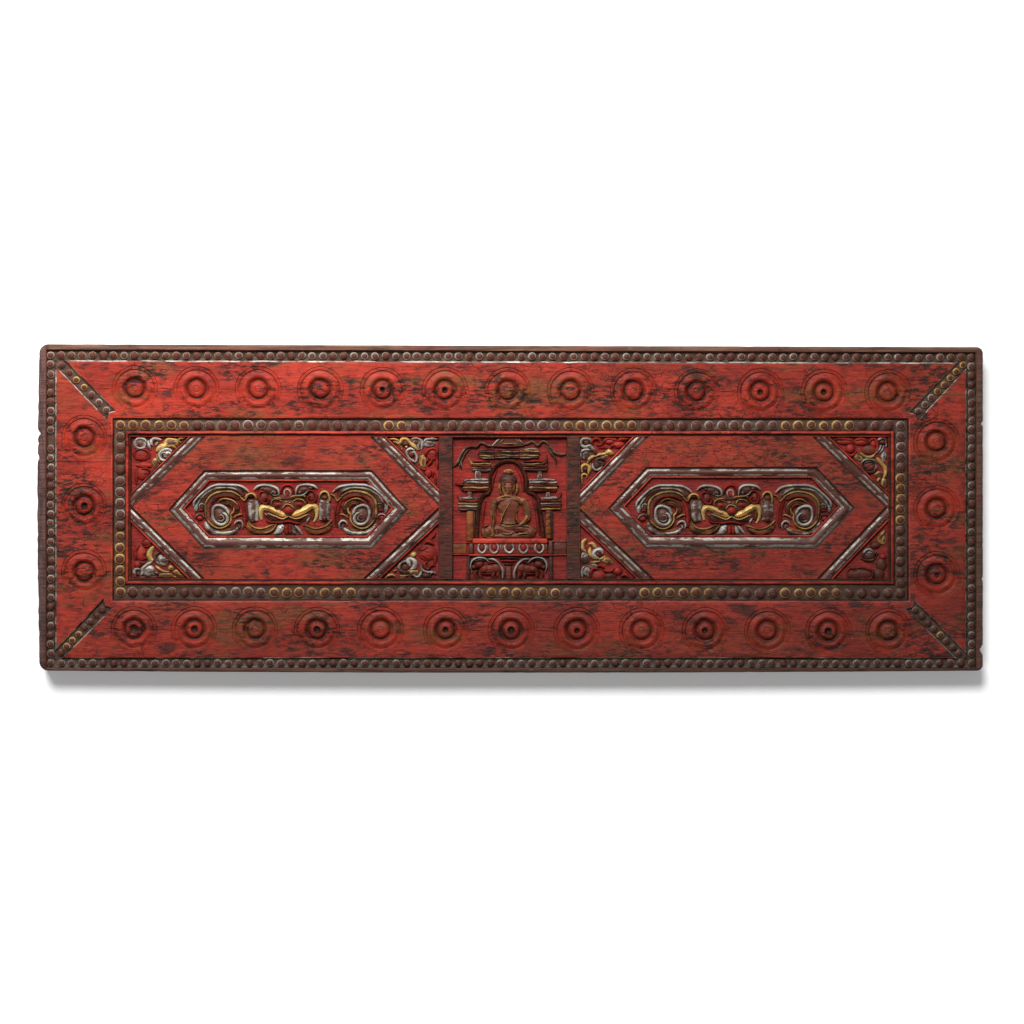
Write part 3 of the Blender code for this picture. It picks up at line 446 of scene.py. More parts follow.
# Carving in each corner triangle: place of its origin, then strokes from there
CORNER_CARVINGS = (
    ((-285.8, 53.6), (
        ("silver", 2.4, (4.4, 4, 0), 4.2, -4.2),
        ("silver", 3.5, 0.95, 8.4, -7, 4.2, -8, 1.2, -6.6, 0.5, -3.6, 2, -1, 4.6, -0.4, 7.6, -1.2, 9.2, -3),
        ("crimson", 3.4, 0.8, 6.8, -5.8, 4, -5.9, 3.2, -4.4, 5.4, -3.6),
        ("silver", 3, 1.4, 10, -2, 11.4, -5.6, 12.6, -8.8),
        ("new_silver", 3.5, 0.95, 13.8, -6, 12.9, -2.8, 14.4, -0.8, 17.4, -0.4, 20.6, -1.4),
        ("silver", 3.3, 0.7, 16.8, -7.4, 16.8, -4.6, 18, -2.8),
        ("old_gold", 2.2, (5, 2.7, 0), 28, -3.4),
        ("gold", 3.6, (0.8, 1.6, 1.7, 1.4, 1.2, 1.2, 1.2, 0.9, 0.5), 17, -10.4, 18.6, -7.9, 21, -6.6,
            23.4, -5.6, 24.4, -3, 25.6, -1.1, 28.6, -1, 31.6, -1.4, 34, -3.2),
        ("old_gold", 3.4, 0.8, 24.4, -6.4, 28, -6, 30.4, -6.8, 32.4, -8.6),
        ("gold", 3.4, 0.75, 35.4, -3.4, 33.6, -1.8, 35, -0.6, 38.6, -0.3),
        ("silver", 2.8, (3.2, 2.8, 0), 25.4, -12.6),
        ("new_silver", 3.5, 0.85, 28.6, -10.2, 26.2, -8.8, 23.4, -8.8, 20.6, -10, 19.2, -12.4, 19.4, -15,
            21, -16.9, 23.4, -17.2, 25.4, -15.8),
        ("new_silver", 3.4, 0.7, 20.4, -14.4, 20.6, -12.2, 22.6, -11.2, 24.4, -12.4, 23.8, -14.2),
        ("old_gold", 2, (2.6, 3.4, 0), 16.4, -19),
        ("old_gold", 2.9, 0.7, 17.2, -12.2, 17.6, -15.4, 19, -18, 21.4, -19.2),
        ("crimson", 2.6, (5.6, 4.4, 0), 5.6, -12.6),
        ("crimson", 3.3, 0.9, 1.2, -16.6, 1, -10.4, 3, -8.8, 6.6, -8.6, 9.6, -10, 11.2, -12.4, 11.6, -15.4),
        ("crimson", 3.1, 0.6, 4, -15.4, 4.6, -12.8, 6.4, -11.4),
        ("crimson", 3.1, 0.6, 7.4, -15, 9, -13.6, 10, -12.8),
        ("crimson", 2.9, 2.1, 1.4, -20.4, 7, -20.7, 13, -20.9),
        ("crimson", 2.2, (4.4, 4.4, 0), 6.4, -27),
        ("crimson", 3.1, 0.7, 4.6, -25.2, 6.8, -23.4, 9.6, -23.4, 12.2, -25.4),
        ("crimson", 3, 0.7, 6.6, -28.6, 8.6, -26.8, 10.8, -28),
        ("crimson", 3, 1.2, 1.8, -24.2, 1.6, -29, 1.4, -35),
    )),
    ((-54, 53.6), (
        ("gold", 3.4, 0.9, -38, -0.7, -33.6, -1, -30.6, -2),
        ("old_gold", 2.4, 1.1, -35, -3, -31.6, -3.8, -29, -5),
        ("gold", 3.6, 1.15, -31.4, -4.2, -29.2, -3, -28, -1.1, -25.6, -0.7, -23.2, -2.2, -21.2, -4.2,
            -18.6, -6.2, -15.8, -9),
        ("umber", 2.8, (2.8, 2.6, 0), -25.4, -4),
        ("gold", 3.2, 0.6, -29, -5.8, -28.4, -8.8),
        ("gold", 3.2, (0.9, 0.8, 0), -25, -6.8),
        ("silver", 2.2, (3.6, 3, 0), -17.8, -3.4),
        ("umber", 2.9, (2, 1.8, 0), -17.4, -3.2),
        ("silver", 3.5, 0.9, -21, -3.2, -20, -1, -17.4, -0.4, -15, -0.8, -13.2, -2.6, -12.8, -5.4,
            -13.6, -8.8),
        ("silver", 3.3, 0.65, -16, -3.6, -16, -6.2, -15, -9),
        ("silver", 2.4, (4.4, 2.6, 0), -7.6, -4),
        ("silver", 3.5, 1.05, -12.2, -4.4, -10.6, -2, -8, -0.8, -4.4, -0.7, -0.8, -1),
        ("silver", 3.2, 0.6, -5.4, -2.6, -3.6, -3.6, -4.8, -5.2),
        ("crimson", 2.4, (4.2, 4.6, 0), -5.2, -12),
        ("crimson", 3.5, 1.1, -10.8, -14, -10, -11.8, -8.4, -9.6, -6, -8.4, -3.2, -8.4, -1.4, -10.2,
            -1.2, -13),
        ("crimson", 3.2, 0.7, -2.8, -10, -2.6, -12.8, -4, -15),
        ("crimson", 3.3, 0.8, -8.6, -21, -6.6, -19.2, -5.4, -16.6, -6, -14),
        ("crimson", 3, 0.7, -10.2, -19.6, -9, -17, -8.2, -15),
        ("crimson", 2.9, 1.2, -1.5, -15.4, -1.3, -19, -1.6, -23.6),
        ("old_gold", 2.4, (2.4, 4.6, 0), -12.2, -17.6),
        ("old_gold", 3.2, 0.6, -14.6, -10.6, -14.2, -15, -15, -19.6),
        ("crimson", 2.6, 0.9, -13.8, -22.8, -11, -24, -7.6, -23.6),
        ("crimson", 2.9, (2.4, 3, 0), -8.4, -27),
        ("crimson", 3.1, 0.8, -6.6, -24.2, -4.6, -26.4, -5, -29.6),
        ("crimson", 2.6, 0.8, -3, -27, -3, -31, -2, -35),
        ("umber", 2.8, (2.6, 2.4, 0), -21, -12),
        ("new_silver", 3.5, 0.9, -18.6, -9.4, -21, -8.3, -23.4, -9, -24.5, -11.2, -24, -13.8, -22, -16.2,
            -19.8, -17.6, -17.8, -18.4),
        ("new_silver", 3.5, 0.8, -20.4, -13, -19.6, -10.6, -17.8, -12.4, -16.8, -15.2, -17.4, -18),
    )),
    ((-285.8, -53.6), (
        ("crimson", 3, 0.75, 6, 28, 7.4, 30, 9.6, 30.9),
        ("crimson", 2.6, (3.4, 2.6, 0), 9.6, 27.8),
        ("crimson", 3, 0.75, 7, 24.4, 10, 24.6, 13.4, 26.6),
        ("crimson", 3.3, 1.1, 4.2, 25.4, 2, 24, 1, 21.4, 0.9, 18, 1.2, 14.6),
        ("crimson", 2.2, (3.4, 5.2, 0), 5.2, 19.4),
        ("crimson", 3, 0.75, 6.4, 17.4, 7.4, 19.2, 9.4, 21),
        ("crimson", 3, 0.9, 6.4, 15.2, 8.4, 15.6, 10.2, 17.4),
        ("crimson", 3.2, (2.4, 2.4, 0), 2.4, 11.2),
        ("crimson", 2.4, 1.2, 3.4, 13.4, 6, 12.2, 8.6, 13),
        ("gold", 3.5, (0.7, 1.3, 1.6, 1.6, 1.5, 1.1), 15, 24.6, 13.2, 22.8, 11.8, 20.6, 11.2, 18.2,
            12, 15.8, 14.2, 14),
        ("silver", 3.2, 0.75, 19.4, 20.4, 16.8, 18.8, 15.7, 16, 16.6, 13.2, 19.2, 11.2),
        ("silver", 2.8, (3.6, 3.2, 0), 22.6, 14),
        ("new_silver", 3.6, (2, 2.4, 0), 20, 15.4),
        ("new_silver", 3.5, 1, 14, 13.6, 11, 11.4, 8, 9.4, 6.2, 7.2, 6, 4, 4.4, 2.6),
        ("silver", 2.6, (4.2, 3.8, 0), 10.4, 6.4),
        ("silver", 3.2, 0.65, 11.6, 8, 12.6, 5, 14.6, 3),
        ("silver", 3.2, 0.75, 15.4, 5, 17, 4.4, 18.4, 2.8),
        ("silver", 3.4, 0.95, 5.2, 6, 3, 7.4, 0.8, 7, 0.1, 4.4, 0.6, 1.4),
        ("umber", 2.8, (2, 1.9, 0), 3.2, 4.2),
        ("umber", 2.4, (3.2, 1.3, 0), 6, 1),
        ("umber", 2.4, (3.4, 1.4, 0), 14.6, 1.2),
        ("gold", 3.3, 0.7, 16, 10, 18.4, 8, 21, 6.3, 24, 5.2, 27.2, 5.8),
        ("old_gold", 3.1, (1.9, 1.8, 0), 28, 8.4),
        ("old_gold", 2.6, (4.6, 2.2, 0), 23.6, 2.8),
        ("old_gold", 3, (0.6, 1.5, 1.3, 0.6), 29.4, 5.4, 32, 5.2, 34.4, 3.4, 38, 1),
        ("gold", 3, 0.7, 29.4, 2, 31.6, 1.2),
    )),
    ((-55.5, -53.6), (
        ("crimson", 3.1, 0.75, -4.4, 30.4, -2.6, 33, -1, 35.4),
        ("crimson", 3.1, 1, -9.8, 26.6, -7.6, 28.5, -5.2, 27.8, -2.2, 26),
        ("crimson", 2.6, (5.8, 5.4, 0), -7.6, 20),
        ("crimson", 3.2, 1, -14.4, 22.8, -11, 22.2, -8.4, 23.6, -5.2, 23.4),
        ("crimson", 3.1, 0.7, -9.4, 21, -6, 20.6),
        ("crimson", 3.1, 0.9, -12.8, 17.6, -10.6, 18.2, -8.4, 16.5, -6, 14.6),
        ("crimson", 3.1, 0.9, -7.4, 13.4, -9.2, 11.4, -8.8, 8.8, -6.4, 7.6, -5.4, 9.6, -3.4, 10.4,
            -1.2, 10.2),
        ("silver", 2.8, 0.75, -11.4, 11, -11.8, 8, -9.6, 5.8, -6.4, 5.1, -3.8, 5.6),
        ("crimson", 2.4, 1.4, -1.6, 22, -1.4, 16, -1.6, 12),
        ("gold", 3.3, (2.1, 1.8, 30), -18, 18.4),
        ("umber", 2.6, (2.8, 2.6, 0), -24.4, 8.6),
        ("silver", 3.2, 0.9, -22.4, 13.4, -25.2, 13, -27.6, 11.6, -28.9, 9.3, -28.2, 6.9, -25.6, 5.3,
            -22.6, 5.2, -20, 6.8),
        ("new_silver", 3.5, 1.25, -20.8, 9.6, -21.4, 12.2, -22, 14.2, -20.4, 15, -18, 14.2, -16.7, 11.8,
            -17.4, 9.2, -19.6, 7.2),
        ("gold", 3.2, 0.85, -39.4, 0.6, -37, 2.3, -34.4, 3, -31.8, 1.8),
        ("gold", 3, 0.75, -32.8, 5.8, -31, 6.8),
        ("old_gold", 2.8, 0.9, -28.4, 2.4, -24, 2.2, -21.4, 3),
        ("old_gold", 2.6, (3.2, 1.7, 0), -17.8, 5.2),
        ("silver", 3.3, 0.9, -20.4, 2.6, -17.6, 2.6, -15, 1.4, -13, 2.8, -11.6, 6.2),
        ("silver", 3.1, 0.65, -15, 4.4, -13, 1),
        ("silver", 3.2, 0.8, -5.2, 1.6, -4.4, 4.4, -2.6, 5, -0.8, 3.2),
        ("umber", 2.4, (2.8, 2, 0), -8.4, 2.6),
        ("umber", 2.2, (3.4, 1.4, 0), -26, 0.6),
    )),
    ((54, 53.6), (
        ("silver", 3.5, 1, 8, -3, 7, -1, 4.4, -0.3, 1.4, -0.9, -0.2, -3.2, 0.6, -5.8, 3.4, -6.7, 6.6, -6.2,
            8.6, -7.8, 10.4, -10.4, 12, -12),
        ("umber", 2.8, (2.3, 2, 0), 4.2, -3.3),
        ("crimson", 3.4, 1.05, 9, -5, 8.8, -2, 10.6, -0.7, 13, -0.7, 15, -2.6, 15.3, -4.7, 13.4, -5.3,
            11.6, -4.4),
        ("crimson", 3, (4.4, 2, 0), 22, -2.6),
        ("crimson", 3.3, 1.1, 16, -4.2, 18, -2, 19.6, -0.9, 23, -0.9, 26.4, -1.8, 27.4, -3.6),
        ("crimson", 3.3, 1.1, 27.6, -3.4, 29.6, -1.4, 33, -0.9, 37, -0.6),
        ("crimson", 2.6, (4.6, 2.6, 0), 28, -5),
        ("crimson", 3.1, 0.7, 22.2, -8, 23.4, -6, 26, -5.8, 27.8, -7.8),
        ("crimson", 2.8, 0.9, 13, -8, 16, -7, 20, -7.6),
        ("silver", 2.4, (3.6, 3.6, 0), 4, -12.8),
        ("silver", 3.5, 1, 0.2, -18.6, -0.2, -14, 0.4, -11, 2.6, -9.3, 5.6, -9, 8.2, -10.2),
        ("silver", 3.2, 0.7, 1.6, -13.6, 4, -12.3, 8, -12.4),
        ("silver", 3.1, 0.7, 3, -15.4, 5.6, -17.6),
        ("gold", 3.5, 1.2, 5, -19, 6.2, -16.2, 8.4, -14.5, 11.2, -13.8),
        ("gold", 3.4, 1, 11.6, -14, 13.6, -12.8, 17, -12.3, 20, -11.2),
        ("gold", 3.3, (0.6, 1.9, 1.7, 0.5), 18.6, -11.4, 20.8, -10.8, 22.8, -11.4, 25, -12.4),
        ("old_gold", 2.2, (3.6, 1.8, 30), 17, -15),
        ("umber", 2.6, (3.4, 3, 0), 12.6, -20.6),
        ("silver", 3.4, 0.8, 9, -19, 9, -22, 11.2, -24.2, 14.2, -23.6, 16.1, -21.4, 15.6, -19.2,
            13.4, -18.4, 12.2, -16.6, 14.2, -15.8, 16.8, -16, 18.6, -17.8),
        ("gold", 3.4, 1, 0.7, -26, 0.6, -22.4, 2, -20.7, 4.6, -20.7, 6.1, -22.2, 6.2, -25, 5.6, -28),
        ("umber", 2.8, (2.2, 2.4, 0), 3.4, -23.4),
        ("gold", 3.2, 0.8, 0.9, -35, 0.6, -31, 0.9, -28.3, 2.8, -27.6, 4.4, -28.6, 4.2, -30.2),
        ("old_gold", 3, 0.8, 7, -19, 7.4, -23, 7, -27),
    )),
    ((287.3, 53.6), (
        ("crimson", 3.3, 1.15, -40, -0.8, -36, -0.8, -32, -1, -28, -1.6, -26, -3.6),
        ("crimson", 2.8, (6, 2.2, 0), -31.6, -2.8),
        ("crimson", 3.3, 1.15, -25.8, -3.4, -23.4, -1.4, -20, -1, -17, -1.9, -14.8, -4.8),
        ("crimson", 2.8, (5.4, 2.2, 0), -20, -3.2),
        ("crimson", 3.4, 1.05, -14, -4, -12.6, -1.5, -10, -1, -8.5, -2.6, -7.8, -6, -8.6, -9.6,
            -10.6, -12.4),
        ("crimson", 2.8, (2.2, 3, 0), -10.8, -4.2),
        ("umber", 2.6, (5, 3.2, 0), -14, -9),
        ("crimson", 3, 0.6, -15, -7.2, -13, -9.6, -13.4, -11.6),
        ("crimson", 3.1, (3, 3.2, 0), -28.4, -8),
        ("crimson", 3, 0.9, -30.8, -11.6, -28, -13.4, -25.8, -12.4, -24, -10),
        ("silver", 3.5, 0.9, -7.6, -2.4, -6.4, -1, -4, -0.5, -1.8, -1.1, -0.8, -3, -1, -6.6),
        ("umber", 2.8, (2.4, 1.7, 0), -4, -3),
        ("new_silver", 3.4, 0.7, -4.8, -5.2, -6, -8.3, -8.4, -11, -10.4, -12.6),
        ("silver", 3.3, 0.8, -2.8, -5.4, -4, -9, -6.8, -12.2),
        ("silver", 2.2, 1.8, -2.6, -9, -3, -14, -3, -18),
        ("new_silver", 3.2, 0.7, -3.8, -11.8, -1.2, -14.6),
        ("gold", 3.4, 0.85, -21, -11.6, -19.2, -12.4, -17.4, -13.8, -14.4, -14.6, -11.4, -13.8, -9.4, -12),
        ("old_gold", 2.6, (3.4, 2.2, -30), -22.4, -14.6),
        ("gold", 3.5, 1.15, -8.4, -15, -6.6, -17.3, -4, -20, -2, -22.6, -1.5, -25.4, -2.2, -28.8,
            -3.8, -31.4),
        ("umber", 2.6, (4.2, 4, 0), -13.6, -21),
        ("silver", 3.4, 0.8, -19.2, -21, -19, -18.2, -16.6, -16.4, -13.4, -16.2, -10.2, -17.6, -8.6, -20.4,
            -9.2, -23.4, -11.6, -25.8, -14.6, -26, -17.4, -24),
        ("silver", 3.4, 0.7, -17.2, -20.6, -16.4, -18.8, -14, -18.2, -12, -19, -12.4, -20.6),
        ("crimson", 3.2, (1.5, 1.5, 0), -12.4, -22),
        ("gold", 3.2, 0.8, -10, -28, -7, -26.4, -4, -26.2),
        ("umber", 2.6, (3, 2, 0), -6.4, -28.4),
        ("gold", 3.2, 0.85, -7.6, -33.4, -6.6, -31, -5.2, -30),
        ("old_gold", 2.6, (2.2, 3.6, 0), -3, -34),
    )),
    ((54, -55.1), (
        ("gold", 3.4, 1.2, 3.8, 31.6, 2, 30, 1.1, 27.4, 1.4, 24.4, 3.6, 22.2),
        ("gold", 3.3, 1.05, 5.6, 28, 8.6, 28.4, 10.6, 26.4, 12, 24.6),
        ("gold", 3.4, 1.15, 7, 25.6, 6.8, 22, 8, 18.8, 10.6, 16.8),
        ("gold", 3.2, 0.9, 13.6, 16.8, 16, 17, 18.6, 18.8),
        ("old_gold", 2.9, (0.8, 1.8, 1.9, 0.6), 15.6, 15.4, 18.4, 15.8, 21, 15, 24.4, 13.8),
        ("old_gold", 2.8, 0.8, 7, 14, 11, 14.2, 15, 15),
        ("umber", 2.8, (2.4, 2.4, 0), 12.8, 20.2),
        ("new_silver", 3.6, 1.3, 16.4, 20.8, 15.4, 23, 12.8, 23.7, 10.4, 22.4, 9.6, 20, 11, 18, 13.6, 17.6),
        ("silver", 3.3, 0.95, 1.4, 12.8, 0.9, 15.6, 0.8, 18.6, 1.8, 20.4, 4.4, 20.6),
        ("silver", 2.4, (2.8, 3.4, 0), 3.2, 17),
        ("silver", 3.4, 1, 0.8, 1, 0.8, 5, 1, 8.6, 2.4, 10.8, 5.4, 11),
        ("silver", 2.5, (3, 3.4, 0), 4, 7.6),
        ("silver", 2.4, (3.4, 1.8, 0), 9, 11.4),
        ("silver", 3, 0.65, 4.4, 6.6, 5.4, 4, 6.6, 1),
        ("crimson", 2.6, (5, 3.6, 0), 13, 4),
        ("crimson", 3.4, 1.15, 7.8, 2, 7.4, 5.6, 8.6, 8.6, 11.4, 9.3, 13.8, 8),
        ("crimson", 3.2, 0.8, 12, 10.2, 14, 11.3, 16, 10.7, 17.8, 9.2),
        ("crimson", 3.2, 1, 16.6, 8, 20, 7.2, 23, 7.4, 25.4, 9.6, 27.8, 10.4),
        ("crimson", 3.1, (3.2, 2.8, 0), 27.6, 7.6),
        ("crimson", 3.1, 0.7, 11.4, 3.2, 13, 2.6, 15.4, 0.9),
        ("umber", 2.4, (4.2, 2.6, 0), 22, 3.4),
        ("crimson", 3.2, 1.05, 30.4, 3, 32.6, 4.6, 35.2, 3.6, 38.6, 1),
    )),
    ((286.5, -55.1), (
        ("old_gold", 3.1, 1.1, -1, 38.4, -4, 35, -5.8, 32.4, -5.2, 30, -2.4, 27.6),
        ("old_gold", 2.2, (1.8, 3.4, 0), -2.4, 31),
        ("umber", 2.6, (3.4, 2.4, 0), -8.6, 27.2),
        ("brown", 3, 0.7, -11.2, 27.8, -9.6, 29.5, -7.2, 29),
        ("brown", 2.4, (4.2, 3.4, 0), -13.4, 19.6),
        ("silver", 3.3, 0.85, -18.4, 18.6, -17.2, 21.5, -15, 23.6, -12.4, 23.8, -10.6, 22),
        ("silver", 3.2, 0.7, -16, 20.2, -14, 21.7, -12, 21.4, -11.4, 19.2),
        ("silver", 3, 0.5, -9.6, 20.2, -7.8, 22.4),
        ("silver", 3, 0.5, -8, 19.4, -6.2, 22),
        ("brown", 3, 0.9, -19.8, 17.2, -15, 15.6, -11, 16, -7.8, 18),
        ("crimson", 2.8, (2.4, 2, 0), -2.8, 18.4),
        ("umber", 2.4, (3.4, 4.4, 0), -4, 12.4),
        ("umber", 2.4, (9.4, 4.2, 0), -20, 5.4),
        ("crimson", 2.9, 0.7, -30, 5, -29, 8.4, -23, 9.7, -17, 9.7, -13, 8.4, -10.6, 5.6, -11.6, 2.4,
            -18, 1.4, -26, 1.4),
        ("umber", 2.9, 0.7, -28, 6.8, -24, 7.8, -19.4, 7),
        ("umber", 2.4, (3.6, 4, 0), -6, 5),
    )),
)


# Shrine. Roof tiers: left, right, top, bottom, how far the left and right end come to a point, and the
# mouldings from the top; every other moulding is round: height, heave, half width as a share of its room
SHRINE_ROOFS = (
    (-24.7, -12.3, 45.4, 37.6, 6, 0, "russet", "silver", "russet", "old_gold", "silver"),
    (-11.8, 7, 45.2, 38.2, 0, 0, "crimson", "silver", "russet", "old_gold", "silver"),
    (7.5, 22.5, 45.8, 37.8, 0, 4, "silver", "old_gold", "russet", "old_gold", "silver"),
    (-29.6, -14.8, 34.6, 28.4, 4, 0, "old_gold", "russet", "old_gold", "silver"),
    (9.4, 29.2, 34.4, 28.6, 0, 3, "old_gold", "russet", "old_gold", "silver"),
    (-37, -16.4, 22.8, 12.6, 6, 0, "silver", "silver", "russet", "old_gold", "russet"),
    (14.4, 36.8, 22.6, 12.6, 0, 6, "silver", "silver", "russet", "old_gold", "russet"),
    (-39.4, -24.4, 8.8, -1.8, 2, 0, "silver", "russet", "old_gold", "silver", "brown"),
    (23.4, 39.2, 8.8, -1.4, 0, 2, "silver", "russet", "silver", "russet", "old_gold"),
)
ROUND_MOULDING = (4.6, 0.25, 0.66)
FLAT_MOULDING = (4.0, -0.2, 0.56)
FINIAL = ((-13.2, 47.4), (10.2, 47.4), (6.0, 53.8), (-7.6, 53.8))
STUD_STARTS = (-32.0, 15.8)

# Slabs of the shrine and the throne: leaf or paint, left, right, top, bottom, height, softened edge
SHRINE_TIERS = (
    ("russet", -23.2, -12, 45.4, 37.8, 26.2, 0.6),
    ("russet", -12.1, 7.2, 45.2, 38.2, 26.2, 0.6),
    ("russet", 7.1, 21.6, 45.6, 38, 26.2, 0.6),
    ("russet", -28.8, -14.8, 34.6, 28.6, 26.2, 0.6),
    ("russet", 9.4, 28.4, 34.4, 28.8, 26.2, 0.6),
    ("russet", -35.2, -16.4, 22.6, 12.8, 26.2, 0.6),
    ("russet", 14.4, 35.2, 22.4, 12.8, 26.2, 0.6),
    ("russet", -38.8, -24.4, 8.6, -1.6, 26.2, 0.6),
    ("russet", 23.4, 38.6, 8.6, -1.2, 26.2, 0.6),
    ("silver", -26.6, -22.4, 28.6, 22.4, 26.4, 0.7),
    ("silver", 20.8, 24.2, 28.6, 22.4, 26.4, 0.7),
    ("silver", -32.4, -28.8, 12.8, 8, 26.4, 0.7),
    ("silver", 27.2, 30.3, 12.6, 8.2, 26.4, 0.7),
)
SHRINE_COLUMNS = (
    ("ochre", -33.2, -27.6, -1.6, -25, 26.6, 1.2),
    # Dark strips on the shaded right side of each column: painted shade, with dirt.
    ("grime", -28.2, -26.4, -1.6, -22.8, 25.2, 0.5),
    ("ochre", 27, 31.4, -1.2, -23.2, 26.8, 1.2),
    ("grime", 31, 32.8, -1.2, -23.2, 25.4, 0.5),
    ("ochre", -43.8, -33.2, -26.3, -34.3, 24.8, 0.4),
    ("umber", 33.4, 43.2, -25.8, -34.8, 24.8, 0.4),
    ("brown", -31.4, -27.8, -26.6, -34.8, 26.6, 0.8),
    ("brown", 29.4, 32.6, -24.6, -34.8, 26.6, 0.8),
)
THRONE_SLABS = (
    ("fillet", -28.5, 28.5, -22.9, -26.6, 28.2, 1),
    ("ground", -27.4, 28, -26, -35, 26.8, 0.5),
    ("fillet", -31.6, 32, -34.8, -36.2, 27.6, 0.6),
    ("fillet", -44, -31.4, -34.4, -35.4, 25.6, 0.4),
    ("fillet", 31.8, 43.6, -34.8, -35.8, 25.6, 0.4),
    ("fillet", -44, -28.6, -25.3, -26.2, 25.4, 0.4),
    ("fillet", 28.6, 43.6, -24.6, -25.5, 25.4, 0.4),
)
PEDESTAL_SLABS = (
    # Dark strips beside the pedestal: painted shade, with dirt.
    ("grime", -32.9, -30.6, -36.6, -55, 26.6, 0.5),
    ("grime", 29.6, 32.6, -36.6, -55, 26.6, 0.5),
    ("umber", -3.6, 1, -43.6, -55.2, 26, 0.6),
)

# Lotus petals: middle and half width, outline in half widths, half widths of its rim, places between
PETALS = ((-21.2, 3.0), (-12.0, 3.2), (-0.6, 3.4), (10.2, 3.3), (22.2, 3.2))
PETAL_OUTLINE = (
    (-0.7, -26.8), (-1, -29.4), (-0.7, -32.4), (0, -33.8), (0.75, -32.2), (1, -29.2), (0.6, -26.9))
PETAL_WIDTHS = (0.5, 0.75, 0.9, 1.0, 0.9, 0.75, 0.5)
PETAL_GAPS = (-25.4, -16.4, -6.2, 4.6, 16.0, 26.6)

# Strokes of the shrine, its streamers and niche, the pedestal, the beast on the right and the figure
SHRINE_STROKES = (
    ("new_silver", 4.2, 0.95, -13.6, 47.8, -10.4, 50.8, -7.2, 53.8),
    ("silver", 4, 0.9, 6, 53.8, 8.2, 50.8, 10.6, 48.2),
    ("old_gold", 4.4, 0.6, -7.8, 49.4, -6, 51.6, -4.2, 53.6),
    ("old_gold", 4.4, 0.6, 4, 53.6, 5.8, 51.4, 7.6, 49.4),
    ("old_gold", 4.3, 0.6, -8, 49.4, 0, 49.1, 7.8, 49.3),
    ("umber", 4.2, 0.9, -13.6, 47.4, -1.5, 47, 10.8, 47.6),
    ("old_gold", 4.2, (0.4, 0.9, 1.2), -31.6, 38.6, -30.2, 35.8, -28.6, 33.6),
    ("umber", 4.4, (0.3, 1, 1.7, 1.4), 27.9, 40.8, 28, 37.8, 27, 35, 24.4, 33.8),
    ("crimson", 3.4, 1.5, -28, 35.8, -22, 36, -16, 35.8),
    ("crimson", 3.4, 1.5, 10.4, 35.8, 18, 36, 26, 35.6),
    ("umber", 4.2, (0.3, 1.1, 1.6, 1.2), 38.8, 13.2, 38.4, 10.4, 36.6, 8, 33, 7.2),
    ("brown", 4.2, (0.3, 0.8, 1), -40.4, 9.6, -37.4, 8, -33.4, 7.4),
    # Dark strokes under the left roof end: painted shade, with dirt.
    ("grime", 4, (0.3, 1, 1.1), -42.2, 18.4, -38.6, 18, -34.8, 17.6),
    ("grime", 3.6, 1.4, -38.2, 15.8, -36, 14.4, -33, 13.2),
    ("silver", 4.4, 0.9, -36.4, 18.6, -34.2, 20.8, -31.6, 22.2),
    ("silver", 4.8, (1.6, 1.4, 0), 16.6, 15.8),
)
STREAMER_STROKES = (
    ("brown", 3.4, 1.15, -13.6, 47.8, -16.8, 47.6, -20.6, 49.6, -23, 49.4, -25.4, 46.8, -29.6, 47.2,
        -33.8, 45.4, -37.4, 39.8, -41, 33.4, -44, 31.8),
    ("new_silver", 3.9, 0.4, -31.4, 47, -34.8, 44.8, -38.2, 39.4, -41.2, 34.2),
    ("brown", 3, 0.9, -29.4, 45.8, -33.6, 42.8, -36, 38, -38.2, 33.4),
    ("silver", 3.2, 0.6, -37.4, 38, -37.2, 33.6, -35.8, 29.6),
    ("silver", 3, 0.5, -37.4, 36, -38.4, 32.4, -37, 29.8),
    ("brown", 3.4, 1.15, 10.4, 48.4, 13.2, 49.6, 17.4, 50.9, 21, 48, 24.8, 51, 27.8, 50.2, 30.6, 46,
        34.4, 42.2, 38.6, 41, 43, 41.2),
    ("silver", 3.8, 0.4, 25, 51.6, 28.4, 50.4, 31.2, 46.2, 35, 42.6),
    ("brown", 3.1, 1, 28.2, 48.2, 29.8, 44.4, 32.6, 40.6, 34.8, 36.8, 35.4, 33.6),
    ("brown", 3, 0.6, 29.4, 44, 31.4, 40.8, 33.6, 38.8),
)
ARCH_STROKES = (
    ("post", 3.9,
        (1.7, 1.7, 1.7, 1.7, 1.7, 1.6, 1.6, 1.7, 1.8, 1.8, 1.8, 1.7, 1.6, 1.6, 1.7, 1.7, 1.7, 1.7, 1.6),
        -25.2, -22.4, -24.6, -8, -23.2, 2.8, -20.6, 9.4, -15.9, 12.3, -16, 17, -15.2, 23.1, -12.6, 30,
        -7.6, 34.7, -0.8, 36.2, 6, 34.2, 10.4, 28.1, 12.4, 21.2, 13.1, 13.2, 18.2, 10.4, 21.8, 4.4,
        23.2, -4, 24.4, -13, 25.4, -22.4),
    ("brown", 4.3, 0.55, -26.2, -22, -25.4, -6, -24, 3.2, -21.2, 10.2, -16.8, 13),
    ("brown", 4.3, 0.5, -16.8, 17, -16, 23.6, -13.4, 30.6, -8, 35.6, -0.8, 37.2),
    ("crimson", 2.8, 1.3, -21.6, -20, -20.6, -4, -18.6, 5.4),
    ("crimson", 2.8, 1.3, -13.4, 14.4, -12.6, 23.4, -9.6, 29.8),
    ("crimson", 2.8, 1.3, 4, 32, 8.2, 25.6, 9.8, 18.6, 10.6, 12.8),
    ("crimson", 2.8, 1.3, 16.6, 7.6, 19.4, 0.6, 21.2, -12, 22.4, -20),
)
